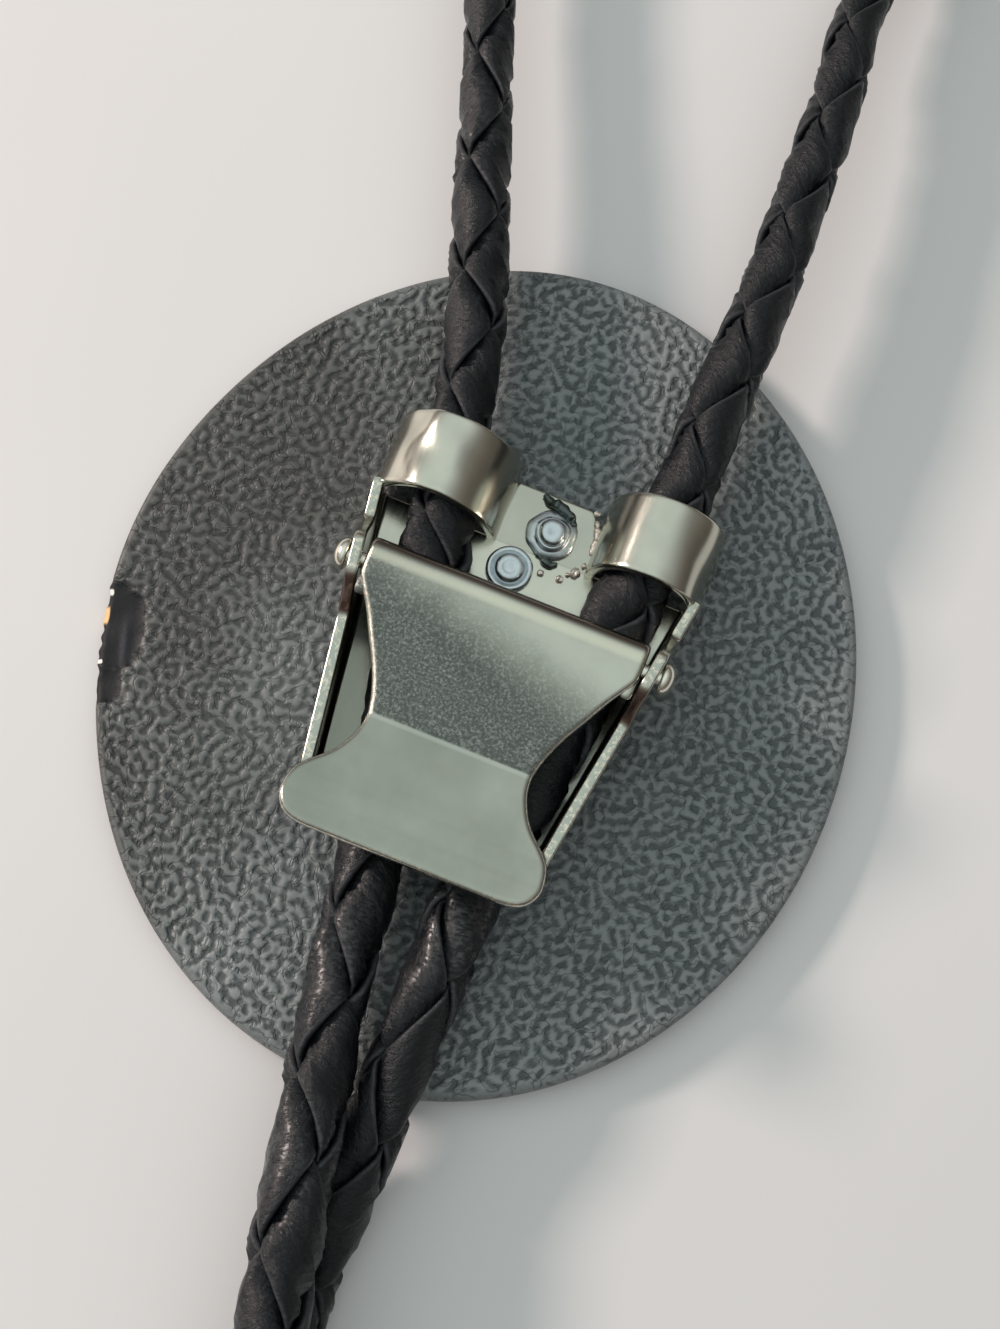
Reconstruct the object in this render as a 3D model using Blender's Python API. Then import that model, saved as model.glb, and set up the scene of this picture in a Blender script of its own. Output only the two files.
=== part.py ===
# Bolo tie lying face down, its lever clasp upward: an oval cast medallion, a stamped
# channel clasp with two cord loops, a hinged lever, and one braided cord with two tips.
# Metres, +Z up. The origin is the centre of the medallion's flat front, on the surface
# that it rests on. +Y runs towards the neck loop, +X to the right seen from above.

import math

import bmesh
import bpy
import numpy as np
from mathutils import Matrix, Vector

for old_object in list(bpy.data.objects):
    bpy.data.objects.remove(old_object, do_unlink=True)

MM = 0.001
GAP = 0.3 * MM                                # between separate pieces that touch

# Medallion: an oval casting, cut by the ground spot where its gate was
MEDALLION_LENGTH = 66.5 * MM
MEDALLION_WIDTH = 57.9 * MM
MEDALLION_THICK = 2.6 * MM
MEDALLION_LEAN = math.radians(3.8)            # its long axis leans to -X at the neck end
RIM_CHAMFER = 0.4 * MM
RIM_STEPS = 96
# The oval's edge swells a little in two places
SWELL_DIRECTION, SWELL_HEIGHT, SWELL_SPREAD = 0, 1, 2   # degrees, share of width, degrees
RIM_SWELLS = (
    (95.0, 0.006, 24.0),
    (178.0, 0.008, 24.0),
)
GATE_DIRECTION = math.radians(197.0)          # where the gate spot is ground off the rim
GATE_LENGTH = 9.0 * MM
GATE_REACH = 3.6 * MM                         # how far it runs in from the rim
GATE_DEPTH = 0.7 * MM

# Clasp base: sheet metal channel, placed by its hinge line
CLASP_X = 0.45 * MM
HINGE_Y = 2.4 * MM
SHEET = 0.9 * MM
BEND_RADIUS = 0.9 * MM
BASE_HALF = 12.3 * MM                         # outer half width at the hinge line
BASE_TAPER = 0.155                            # half width gained per unit of +Y
BASE_FRONT = 7.4 * MM                         # hinge line to the front edge of the channel
BASE_BACK = 17.0 * MM                         # hinge line to its back edge
PIVOT_HEIGHT = 6.2 * MM                       # above the upper side of the base sheet
WALL_FRONT_HEIGHT = 3.6 * MM
WALL_BACK_HEIGHT = 4.9 * MM
WALL_END_HEIGHT = 4.2 * MM
EAR_RADIUS = 1.75 * MM                        # wall above the pivot
EAR_REACH = 4.4 * MM                          # half the length of the raised ear
# Outline of the raised ear: share of its reach, share of its rise above the wall
EAR_OUTLINE = ((1.0, 0.0), (0.72, 0.45), (0.45, 0.87), (0.2, 1.0),
               (-0.2, 1.0), (-0.45, 0.87), (-0.72, 0.42), (-1.0, 0.0))

# Cord loops: two flat bands that arch over the cord from the wall to the tongue
LOOP_WIDTH = 6.05 * MM                        # along the cord
LOOP_INNER = 3.7 * MM                         # tongue's centre to the loop's inner side
LOOP_OUTER = 13.55 * MM                       # centre line to its outer side
LOOP_HEIGHT = 6.5 * MM                        # crest above the base sheet
LOOP_SHEET = 0.8 * MM
# Each arch: side of the clasp, name, superellipse exponents of its outer and inner half
LOOP_SIDES = ((-1, "left", 2.6, 1.75), (1, "right", 2.15, 2.1))
LOOP_STEPS = 18
LOOP_SEAT = 0.4 * MM                          # how deep band and sheet merge

# Tongue between the loops, with the two posts that hold the clasp to the medallion
TONGUE_SHIFT = 0.5 * MM                       # its centre lies right of the clasp's
TONGUE_FRONT = 12.35 * MM                     # hinge line to its front edge
POST_RADIUS = 1.0 * MM
RIVET_X, RIVET_Y = -1.3 * MM, 5.35 * MM       # from the clasp's centre and hinge line
RIVET_HEAD_RADIUS = 1.75 * MM
RIVET_HEAD_HEIGHT = 0.8 * MM
STUD_X, STUD_Y = 0.8 * MM, 9.3 * MM
STUD_HEAD_RADIUS = 1.5 * MM
STUD_HEAD_HEIGHT = 1.3 * MM
ROUND_STEPS = 24
# Domed head of a post or pin: share of its radius, share of its height
HEAD_DOME = ((1.0, 0.0), (1.0, 0.5), (0.86, 0.82), (0.55, 1.0))

# Lever: a bent plate with a pressing lip, two hinge ears and a paddle
LEVER_SHEET = 0.9 * MM
LEVER_EAR_OUTER = BASE_HALF - SHEET - 0.45 * MM   # its hinge ears run inside the walls
LEVER_TOP = 1.9 * MM                          # its upper side above the pivot
LIP_REACH = 1.9 * MM                          # pivot to the front of the lip
LIP_END = -0.8 * MM                           # lip's lower edge, from the pivot up
LIP_BEND = 1.2 * MM                           # outer radius of the lip's bend
LIP_HALF = LEVER_EAR_OUTER + 0.1 * MM
WAIST_HALF = 0.584 * LIP_HALF
PADDLE_HALF = 0.914 * LIP_HALF
CREASE_BACK = 10.8 * MM                       # pivot to the crease at the waist
LEVER_BACK = 20.4 * MM                        # pivot to the end of the paddle
CREASE_DROP = 0.25 * MM                       # fall of the upper plate to the crease
PADDLE_RISE = 1.15 * MM                       # rise of the paddle to its end
# Half width: share of the way from hinge to crease, share from the waist to the lip
UPPER_OUTLINE = ((0.04, 1.0), (0.13, 0.975), (0.22, 0.85), (0.32, 0.70), (0.42, 0.57),
                 (0.52, 0.45), (0.62, 0.32), (0.72, 0.205), (0.82, 0.11), (0.91, 0.04))
# Half width: share of the way from crease to end, share from the waist to the paddle
PADDLE_OUTLINE = ((0.0, 0.0), (0.07, 0.01), (0.14, 0.045), (0.21, 0.11), (0.29, 0.21),
                  (0.36, 0.33), (0.42, 0.47), (0.48, 0.64), (0.53, 0.77), (0.585, 0.885),
                  (0.65, 0.955), (0.72, 0.99), (0.80, 1.0), (0.87, 0.94), (0.925, 0.84),
                  (0.965, 0.70), (0.99, 0.50), (1.0, 0.25))
LEVER_EAR_RADIUS = 2.0 * MM
LEVER_EAR_FRONT = 1.0 * MM
LEVER_EAR_BACK = 2.9 * MM

# Hinge rivets
PIN_RADIUS = 0.6 * MM
PIN_HEAD_RADIUS = 1.25 * MM
PIN_HEAD_HEIGHT = 0.7 * MM

# Cord: one round braid of four leather strands
CORD_DIAMETER = 5.0 * MM
CORD_POINT_STEP = 2.5                         # in diameters
CORD_RING = 3                                 # bevel resolution, 10 sides
ROUTE_UNIT = 1.0 * MM
# Route of its middle line in millimetres, from the left end over the neck to the right
# end: x, y, z, share of the full radius (the lever and the loops squeeze it a little)
CORD_ROUTE = (
    (3.6, -67.5, 6.5, 1.0),
    (4.6, -62.4, 7.3, 1.0),
    (4.9, -56.8, 7.9, 1.0),
    (4.1, -50.4, 8.05, 1.0),
    (1.55, -40.1, 7.95, 1.0),
    (-0.5, -29.4, 6.8, 1.0),
    (-1.8, -19.2, 6.45, 0.92),
    (-3.9, -8.0, 5.95, 0.74),
    (-5.7, 2.0, 5.85, 0.71),
    (-6.6, 7.0, 5.9, 0.74),
    (-7.8, 12.6, 6.55, 0.97),
    (-8.9, 18.4, 6.85, 1.0),
    (-11.0, 26.2, 7.0, 1.0),
    (-14.0, 34.6, 6.75, 1.0),
    (-16.8, 42.8, 6.5, 1.0),
    (-19.8, 51.2, 6.1, 1.0),
    (-24.1, 63.4, 5.85, 1.0),
    (-30.4, 81.2, 5.1, 1.0),
    (-42.7, 108.2, 3.5, 1.0),
    (-60.0, 137.9, 2.66, 1.0),
    (-80.0, 168.0, 2.56, 1.0),
    (-95.0, 201.0, 2.56, 1.0),
    (-99.0, 237.0, 2.56, 1.0),
    (-89.0, 271.0, 2.56, 1.0),
    (-66.0, 298.0, 2.56, 1.0),
    (-34.0, 314.0, 2.56, 1.0),
    (1.0, 318.0, 2.56, 1.0),
    (36.0, 310.0, 2.56, 1.0),
    (66.0, 290.0, 2.56, 1.0),
    (86.0, 260.0, 2.56, 1.0),
    (92.0, 225.0, 2.56, 1.0),
    (84.0, 190.0, 2.56, 1.0),
    (66.0, 159.0, 2.56, 1.0),
    (44.0, 130.9, 2.62, 1.0),
    (23.7, 104.0, 3.2, 1.0),
    (11.6, 79.1, 4.5, 1.0),
    (8.65, 63.95, 5.6, 1.0),
    (9.35, 54.05, 6.45, 1.0),
    (9.65, 44.25, 6.85, 1.0),
    (9.85, 34.9, 7.0, 1.0),
    (9.5, 25.8, 7.0, 1.0),
    (9.5, 19.0, 6.8, 1.0),
    (9.2, 13.2, 6.55, 0.97),
    (8.6, 8.0, 5.9, 0.74),
    (7.9, 2.0, 5.85, 0.71),
    (6.7, -8.0, 5.95, 0.74),
    (5.7, -18.2, 6.45, 0.92),
    (5.7, -26.8, 6.2, 1.0),
    (5.8, -33.5, 5.4, 1.0),
    (5.4, -40.15, 3.6, 1.0),
    (4.95, -45.2, 2.7, 1.0),
    (5.15, -50.2, 2.56, 1.0),
    (7.1, -57.1, 2.56, 1.0),
    (10.2, -63.0, 2.8, 1.0),
    (12.9, -67.9, 3.25, 1.0),
)
ROUTE_STEPS = 24                              # samples between two route points

# Cord tips: plain turned metal ends with a socket for the cord
TIP_LENGTH = 25.0 * MM
TIP_WALL = 0.45 * MM
TIP_SOCKET = 4.5 * MM
TIP_END_RADIUS = 2.2 * MM
TIP_ROUND = 0.8 * MM

# Heights that follow from the sizes above
BASE_BOTTOM = MEDALLION_THICK + GAP
BASE_TOP = BASE_BOTTOM + SHEET


def make_material(name, color, roughness, metallic):
    """A plain finish: colour, roughness and metallic value."""
    material = bpy.data.materials.new(name)
    material.use_nodes = True
    shader = material.node_tree.nodes["Principled BSDF"]
    shader.inputs["Base Color"].default_value = (*color, 1.0)
    shader.inputs["Roughness"].default_value = roughness
    shader.inputs["Metallic"].default_value = metallic
    return material


def finish_object(name, mesh, material, smooth_angle=math.radians(35)):
    """Put a mesh in the scene with its material and smooth shading."""
    thing = bpy.data.objects.new(name, mesh)
    bpy.context.scene.collection.objects.link(thing)
    mesh.materials.append(material)
    mesh.shade_smooth()
    mesh.set_sharp_from_angle(angle=smooth_angle)
    return thing


def mesh_from(name, points, faces):
    """Make a mesh whose faces all point out."""
    mesh = bpy.data.meshes.new(name)
    mesh.from_pydata([tuple(p) for p in points], [], faces)
    work = bmesh.new()
    work.from_mesh(mesh)
    bmesh.ops.recalc_face_normals(work, faces=work.faces)
    work.to_mesh(mesh)
    work.free()
    return mesh


def loft(name, sections):
    """Skin closed sections that have one number of points each, and cap both ends."""
    count = len(sections[0])
    points = [p for section in sections for p in section]
    faces = [tuple(range(count - 1, -1, -1))]
    for level in range(len(sections) - 1):
        low, high = level * count, (level + 1) * count
        for i in range(count):
            j = (i + 1) % count
            faces.append((low + i, low + j, high + j, high + i))
    faces.append(tuple(range(len(points) - count, len(points))))
    return mesh_from(name, points, faces)


def turned(name, profile, steps=ROUND_STEPS):
    """Turn a profile of (radius, height) about Z; it starts and ends off the axis."""
    sections = []
    for radius, height in profile:
        sections.append([(radius * math.cos(a), radius * math.sin(a), height)
                         for a in (2 * math.pi * i / steps for i in range(steps))])
    return loft(name, sections)


def prism_x(name, outline, low_x, high_x):
    """Run an outline of (y, z) from one x to another."""
    return loft(name, [[(x, y, z) for y, z in outline] for x in (low_x, high_x)])


def guide(name, mesh):
    """A shape that only cuts, clips or joins another one."""
    thing = bpy.data.objects.new(name, mesh)
    bpy.context.scene.collection.objects.link(thing)
    thing.hide_render = True
    thing.display_type = "WIRE"
    return thing


def combine(target, other, operation):
    """Exact Boolean of a guide with a piece."""
    step = target.modifiers.new(operation.title() + " " + other.name, "BOOLEAN")
    step.operation = operation
    step.solver = "EXACT"
    step.object = other


def at_clasp(x, y, z):
    """A place given from the clasp's centre line, hinge line and base sheet."""
    return (CLASP_X + x, HINGE_Y + y, BASE_TOP + z)


def place_at_clasp(mesh):
    mesh.transform(Matrix.Translation(Vector(at_clasp(0.0, 0.0, 0.0))))
    return mesh


def wall_half(y):
    """Outer half width of the channel at a distance from the hinge line."""
    return BASE_HALF + BASE_TAPER * y


def medallion_rim(inset, height):
    """The oval's edge, drawn in by an inset, at one height."""
    half_long = 0.5 * MEDALLION_LENGTH - inset
    half_wide = 0.5 * MEDALLION_WIDTH - inset
    ring = []
    for i in range(RIM_STEPS):
        angle = 2 * math.pi * i / RIM_STEPS
        swell = 1.0
        for row in RIM_SWELLS:
            away = (math.degrees(angle) - row[SWELL_DIRECTION] + 180.0) % 360.0 - 180.0
            swell += 2 * row[SWELL_HEIGHT] * math.exp(-(away / row[SWELL_SPREAD]) ** 2)
        turn = angle - MEDALLION_LEAN
        radius = swell / math.hypot(math.cos(turn) / half_wide, math.sin(turn) / half_long)
        ring.append((radius * math.cos(angle), radius * math.sin(angle), height))
    return ring


def domed_head(radius, under, height):
    """Profile of a head as (radius, height), from its underside up."""
    return [(share_r * radius, under + share_z * height) for share_r, share_z in HEAD_DOME]


def post_profile(head_radius, head_height, root):
    """A cast post: shaft through the base sheet, then a domed head above it."""
    under = BASE_TOP + GAP
    return [(POST_RADIUS, root), (POST_RADIUS, under)] + domed_head(head_radius, under,
                                                                     head_height)


def make_medallion(material):
    mesh = loft("medallion", [
        medallion_rim(0.0, 0.0),
        medallion_rim(0.0, MEDALLION_THICK - RIM_CHAMFER),
        medallion_rim(RIM_CHAMFER, MEDALLION_THICK),
    ])
    medallion = finish_object("medallion", mesh, material)
    root = 0.5 * MEDALLION_THICK
    posts = (("rivet", RIVET_X, RIVET_Y, RIVET_HEAD_RADIUS, RIVET_HEAD_HEIGHT),
             ("stud", STUD_X, STUD_Y, STUD_HEAD_RADIUS, STUD_HEAD_HEIGHT))
    for name, x, y, head_radius, head_height in posts:
        post = guide(name + "_post", turned(name, post_profile(head_radius, head_height, root)))
        post.location = (CLASP_X + x, HINGE_Y + y, 0.0)
        combine(medallion, post, "UNION")
    combine(medallion, make_gate_cutter(), "DIFFERENCE")
    return medallion


def make_gate_cutter():
    """A flat ball that scoops the ground spot out of the rim's upper edge."""
    work = bmesh.new()
    bmesh.ops.create_uvsphere(work, u_segments=24, v_segments=12, radius=1.0)
    mesh = bpy.data.meshes.new("gate_cutter")
    work.to_mesh(mesh)
    work.free()
    half = Vector((GATE_REACH, 0.5 * GATE_LENGTH, GATE_DEPTH))
    rim = 0.5 * MEDALLION_WIDTH
    mesh.transform(
        Matrix.Translation(Vector((rim * math.cos(GATE_DIRECTION),
                                   rim * math.sin(GATE_DIRECTION), MEDALLION_THICK)))
        @ Matrix.Rotation(GATE_DIRECTION, 4, "Z")
        @ Matrix.Diagonal((*half, 1.0)))
    return guide("gate_cutter", mesh)


def channel_section(y, top):
    """The bent sheet's section at one y: up one side, round and back inside."""
    half = wall_half(y)
    steps = 5
    outer_radius = BEND_RADIUS + SHEET
    bends = [math.pi + 0.5 * math.pi * i / steps for i in range(steps + 1)]
    outer = [(-half, top)]
    outer += [(-half + outer_radius + outer_radius * math.cos(a),
               BEND_RADIUS + outer_radius * math.sin(a)) for a in bends]
    inner = [(-half + outer_radius + BEND_RADIUS * math.cos(a),
              BEND_RADIUS + BEND_RADIUS * math.sin(a)) for a in reversed(bends)]
    inner += [(-half + SHEET, top)]
    right_outer = [(-x, z) for x, z in reversed(outer)]
    right_inner = [(-x, z) for x, z in reversed(inner)]
    return [(x, y, z) for x, z in outer + right_outer + right_inner + inner]


def wall_profile():
    """Side view of the channel as (y, z), which clips its walls to height."""
    rise = PIVOT_HEIGHT + EAR_RADIUS
    below = -2 * SHEET
    end_round = 0.5 * (WALL_BACK_HEIGHT - SHEET)
    outline = [(2 * BASE_FRONT, below), (2 * BASE_FRONT, WALL_FRONT_HEIGHT)]
    for share_y, share_z in EAR_OUTLINE:
        wall = WALL_FRONT_HEIGHT if share_y > 0 else WALL_BACK_HEIGHT
        outline.append((share_y * EAR_REACH, wall + share_z * (rise - wall)))
    outline.append((-BASE_BACK + end_round, WALL_END_HEIGHT))
    outline.append((-BASE_BACK + 0.3 * end_round, WALL_END_HEIGHT - 0.3 * end_round))
    outline.append((-BASE_BACK, WALL_END_HEIGHT - end_round))
    outline.append((-BASE_BACK, below))
    return outline


def loop_section(inner_side, outer_squareness, inner_squareness):
    """Arch of one cord loop as (x, z): outer side up and over, then back inside."""
    middle = 0.5 * (inner_side + LOOP_OUTER)
    half = 0.5 * (LOOP_OUTER - inner_side)

    def arch(inset):
        curve = []
        for i in range(LOOP_STEPS + 1):
            angle = math.pi * i / LOOP_STEPS
            power = 2.0 / (outer_squareness if 2 * i < LOOP_STEPS else inner_squareness)
            run = math.copysign(abs(math.cos(angle)) ** power, math.cos(angle))
            curve.append((middle + (half - inset) * run,
                          (LOOP_HEIGHT - inset) * math.sin(angle) ** power))
        return curve

    outer, inner = arch(0.0), arch(LOOP_SHEET)
    foot = -LOOP_SEAT
    return ([(LOOP_OUTER, foot)] + outer + [(inner_side, foot)]
            + [(inner_side + LOOP_SHEET, foot)] + inner[::-1]
            + [(LOOP_OUTER - LOOP_SHEET, foot)])


def make_clasp_base(material):
    channel_top = PIVOT_HEIGHT + 2 * EAR_RADIUS
    sections = [channel_section(y, channel_top) for y in (BASE_FRONT, -BASE_BACK)]
    base = finish_object("clasp_base", place_at_clasp(loft("clasp_base", sections)), material)
    widest = 2 * LOOP_OUTER
    clip = guide("wall_clip", place_at_clasp(prism_x("wall_clip", wall_profile(),
                                                     -widest, widest)))
    combine(base, clip, "INTERSECT")

    back, front = BASE_FRONT - 2 * SHEET, TONGUE_FRONT
    corner = SHEET
    left = TONGUE_SHIFT - LOOP_INNER - LOOP_SEAT
    right = TONGUE_SHIFT + LOOP_INNER + LOOP_SEAT
    tongue_outline = [(left, back), (right, back), (right, front - corner),
                      (right - corner, front), (left + corner, front), (left, front - corner)]
    tongue = loft("tongue", [[(x, y, z) for x, y in tongue_outline] for z in (-SHEET, 0.0)])
    combine(base, guide("tongue", place_at_clasp(tongue)), "UNION")

    for side, name, outer_squareness, inner_squareness in LOOP_SIDES:
        arch = loop_section(LOOP_INNER + side * TONGUE_SHIFT, outer_squareness,
                            inner_squareness)
        sections = [[(side * x, y, z) for x, z in arch]
                    for y in (BASE_FRONT - LOOP_SEAT, BASE_FRONT + LOOP_WIDTH)]
        band = guide("loop_" + name, place_at_clasp(loft("loop_" + name, sections)))
        combine(base, band, "UNION")

    hole_radius = PIN_RADIUS + GAP
    hinge_hole = turned("hinge_hole", [(hole_radius, -widest), (hole_radius, widest)])
    hinge_hole.transform(Matrix.Rotation(math.radians(90), 4, "Y"))
    hinge_hole.transform(Matrix.Translation(Vector(at_clasp(0.0, 0.0, PIVOT_HEIGHT))))
    combine(base, guide("hinge_hole", hinge_hole), "DIFFERENCE")
    for name, x, y in (("rivet_hole", RIVET_X, RIVET_Y), ("stud_hole", STUD_X, STUD_Y)):
        radius = POST_RADIUS + GAP
        hole = turned(name, [(radius, -2 * SHEET), (radius, SHEET)])
        hole.transform(Matrix.Translation(Vector(at_clasp(x, y, 0.0))))
        combine(base, guide(name, hole), "DIFFERENCE")
    return base


def lever_rows():
    """The bent plate as rows of (y, z, half width) of its upper side, from the pivot."""
    rows = [(LIP_REACH, LIP_END, LIP_HALF)]
    bend_y, bend_z = LIP_REACH - LIP_BEND, LEVER_TOP - LIP_BEND
    steps = 6
    for i in range(steps + 1):
        angle = 0.5 * math.pi * i / steps
        rows.append((bend_y + LIP_BEND * math.cos(angle),
                     bend_z + LIP_BEND * math.sin(angle), LIP_HALF))
    for share, width in UPPER_OUTLINE:
        rows.append((-share * CREASE_BACK, LEVER_TOP - share * CREASE_DROP,
                     WAIST_HALF + width * (LIP_HALF - WAIST_HALF)))
    crease_z = LEVER_TOP - CREASE_DROP
    for share, width in PADDLE_OUTLINE:
        rows.append((-CREASE_BACK - share * (LEVER_BACK - CREASE_BACK),
                     crease_z + share * PADDLE_RISE,
                     WAIST_HALF + width * (PADDLE_HALF - WAIST_HALF)))
    return rows


def lever_plate():
    """Give the rows a thickness square to the sheet and skin them."""
    rows = lever_rows()
    sections = []
    for i, (y, z, half) in enumerate(rows):
        before, after = rows[max(i - 1, 0)], rows[min(i + 1, len(rows) - 1)]
        along = Vector((0.0, after[0] - before[0], after[1] - before[1])).normalized()
        down = Vector((0.0, -along.z, along.y)) * LEVER_SHEET
        low_y, low_z = y + down.y, z + down.z
        sections.append([(-half, y, z), (half, y, z), (half, low_y, low_z),
                         (-half, low_y, low_z)])
    return loft("clasp_lever", sections)


def lever_ear_outline():
    """Side view of one hinge ear as (y, z): round below the pivot, merged above it."""
    steps = 10
    top = LEVER_TOP - 0.5 * LEVER_SHEET
    start, end = math.radians(10), math.radians(-190)
    arc = [(LEVER_EAR_RADIUS * math.cos(start + (end - start) * i / steps),
            LEVER_EAR_RADIUS * math.sin(start + (end - start) * i / steps))
           for i in range(steps + 1)]
    return [(LEVER_EAR_FRONT, top)] + [p for p in arc if p[0] < LEVER_EAR_FRONT] + [
        (-LEVER_EAR_BACK, top)]


def make_clasp_lever(material):
    origin = Vector(at_clasp(0.0, 0.0, PIVOT_HEIGHT))
    lever = finish_object("clasp_lever", lever_plate(), material)
    lever.location = origin
    for side, name in ((-1, "left"), (1, "right")):
        ear = prism_x("lever_ear_" + name, lever_ear_outline(),
                      side * (LEVER_EAR_OUTER - LEVER_SHEET), side * LEVER_EAR_OUTER)
        ear_guide = guide("lever_ear_" + name, ear)
        ear_guide.location = origin
        combine(lever, ear_guide, "UNION")
    hole_radius = PIN_RADIUS + GAP
    hole = turned("lever_hole", [(hole_radius, -2 * LIP_HALF), (hole_radius, 2 * LIP_HALF)])
    hole.transform(Matrix.Rotation(math.radians(90), 4, "Y"))
    hole_guide = guide("lever_hole", hole)
    hole_guide.location = origin
    combine(lever, hole_guide, "DIFFERENCE")
    return lever


def make_hinge_rivets(material):
    """Two short pins from inside the lever's ears to round heads outside the walls."""
    inner = LEVER_EAR_OUTER - LEVER_SHEET
    under_head = wall_half(PIN_HEAD_RADIUS) + 0.5 * GAP
    profile = [(PIN_RADIUS, inner), (PIN_RADIUS, under_head)] + domed_head(
        PIN_HEAD_RADIUS, under_head, PIN_HEAD_HEIGHT)
    for side, name in ((-1, "left"), (1, "right")):
        mesh = turned("hinge_rivet_" + name, profile)
        mesh.transform(Matrix.Rotation(math.radians(90 * side), 4, "Y"))
        rivet = finish_object("hinge_rivet_" + name, mesh, material)
        rivet.location = at_clasp(0.0, 0.0, PIVOT_HEIGHT)


def smooth_route(route):
    """Smooth curve through the chosen points, sampled at even steps of arc length."""
    table = np.array(route, float)
    table[:, :3] *= ROUTE_UNIT
    ends = np.vstack([2 * table[0] - table[1], table, 2 * table[-1] - table[-2]])
    t = np.linspace(0.0, 1.0, ROUTE_STEPS, endpoint=False)[:, None]
    pieces = []
    for a, b, c, d in zip(ends[:-3], ends[1:-2], ends[2:-1], ends[3:]):
        pieces.append(0.5 * (2 * b + (c - a) * t + (2 * a - 5 * b + 4 * c - d) * t ** 2
                             + (3 * b - 3 * c + d - a) * t ** 3))
    fine = np.vstack(pieces + [table[-1:]])
    reach = np.concatenate([[0.0], np.cumsum(np.linalg.norm(np.diff(fine[:, :3], axis=0),
                                                            axis=1))])
    return fine, reach


def read_route(fine, reach, start, end):
    """Points of the curve between two distances along it, a few diameters apart."""
    count = max(2, round((end - start) / (CORD_POINT_STEP * CORD_DIAMETER)) + 1)
    where = np.linspace(start, end, count)
    return np.stack([np.interp(where, reach, fine[:, k]) for k in range(4)], axis=1)


def make_cord(name, points, material):
    """A tube along the points: a poly curve with a bevel and filled caps."""
    curve = bpy.data.curves.new(name, "CURVE")
    curve.dimensions = "3D"
    curve.bevel_depth = 0.5 * CORD_DIAMETER
    curve.bevel_resolution = CORD_RING
    curve.use_fill_caps = True
    spline = curve.splines.new("POLY")
    spline.points.add(len(points) - 1)
    for point, (x, y, z, share) in zip(spline.points, points):
        point.co = (x, y, z, 1.0)
        point.radius = share
    curve.materials.append(material)
    cord = bpy.data.objects.new(name, curve)
    bpy.context.scene.collection.objects.link(cord)
    return cord


def make_tip(name, end, inward, material):
    """A turned tip whose socket takes the cord's end; inward points into the cord."""
    socket_radius = 0.5 * CORD_DIAMETER + GAP
    mouth_radius = socket_radius + TIP_WALL
    bottom = -GAP
    profile = [(socket_radius, bottom), (socket_radius, TIP_SOCKET),
               (mouth_radius, TIP_SOCKET), (mouth_radius, bottom - 2 * TIP_WALL),
               (TIP_END_RADIUS, bottom - TIP_LENGTH + TIP_SOCKET + TIP_ROUND),
               (TIP_END_RADIUS - TIP_ROUND, bottom - TIP_LENGTH + TIP_SOCKET)]
    tip = finish_object(name, turned(name, profile), material)
    tip.rotation_mode = "QUATERNION"
    tip.rotation_quaternion = Vector((0.0, 0.0, 1.0)).rotation_difference(Vector(inward))
    tip.location = Vector(end)
    return tip


def build():
    cast_metal = make_material("cast_metal", (0.10, 0.115, 0.12), 0.45, 0.7)
    nickel = make_material("nickel", (0.55, 0.55, 0.5), 0.3, 1.0)
    leather = make_material("black_leather", (0.02, 0.021, 0.024), 0.5, 0.0)
    make_medallion(cast_metal)
    make_clasp_base(nickel)
    make_clasp_lever(nickel)
    make_hinge_rivets(nickel)

    fine, reach = smooth_route(CORD_ROUTE)
    total = reach[-1]
    crown = 0.5 * total
    left = read_route(fine, reach, 0.0, crown - 0.5 * GAP)
    right = read_route(fine, reach, crown + 0.5 * GAP, total)
    make_cord("cord_left", left, leather)
    make_cord("cord_right", right, leather)
    make_tip("tip_left", left[0, :3], left[1, :3] - left[0, :3], nickel)
    make_tip("tip_right", right[-1, :3], right[-2, :3] - right[-1, :3], nickel)


build()
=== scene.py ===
import math

import bmesh
import bpy
import numpy as np
from mathutils import Matrix, Vector


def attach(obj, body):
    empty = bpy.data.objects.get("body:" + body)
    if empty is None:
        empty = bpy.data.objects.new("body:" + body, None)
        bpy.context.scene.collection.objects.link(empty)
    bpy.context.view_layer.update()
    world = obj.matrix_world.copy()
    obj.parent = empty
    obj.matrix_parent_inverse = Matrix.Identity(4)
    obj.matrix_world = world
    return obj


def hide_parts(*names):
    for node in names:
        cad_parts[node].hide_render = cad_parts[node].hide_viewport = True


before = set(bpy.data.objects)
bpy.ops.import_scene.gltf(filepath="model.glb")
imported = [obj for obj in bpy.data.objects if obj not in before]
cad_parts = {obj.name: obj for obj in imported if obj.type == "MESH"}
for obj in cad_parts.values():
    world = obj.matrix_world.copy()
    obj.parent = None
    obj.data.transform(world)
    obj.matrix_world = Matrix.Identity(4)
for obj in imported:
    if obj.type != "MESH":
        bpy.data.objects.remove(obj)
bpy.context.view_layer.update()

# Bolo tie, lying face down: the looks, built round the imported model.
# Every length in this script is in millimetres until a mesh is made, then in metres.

toMetres = 0.001
weldGap = 0.002                        # points closer than this become one


# Camera

cameraSetup = {
    "place": (8.3, -42.1, 172.8),      # seen from above the slide, a little towards the tips
    "photoUp": (-0.368, 0.930),        # the photograph's upward direction on the table
    "tilt": 14.0,                      # degrees off straight down
    "sideTilt": -3.0,
    "lens": 61.6,
    "sensor": 36.0,
}


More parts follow.
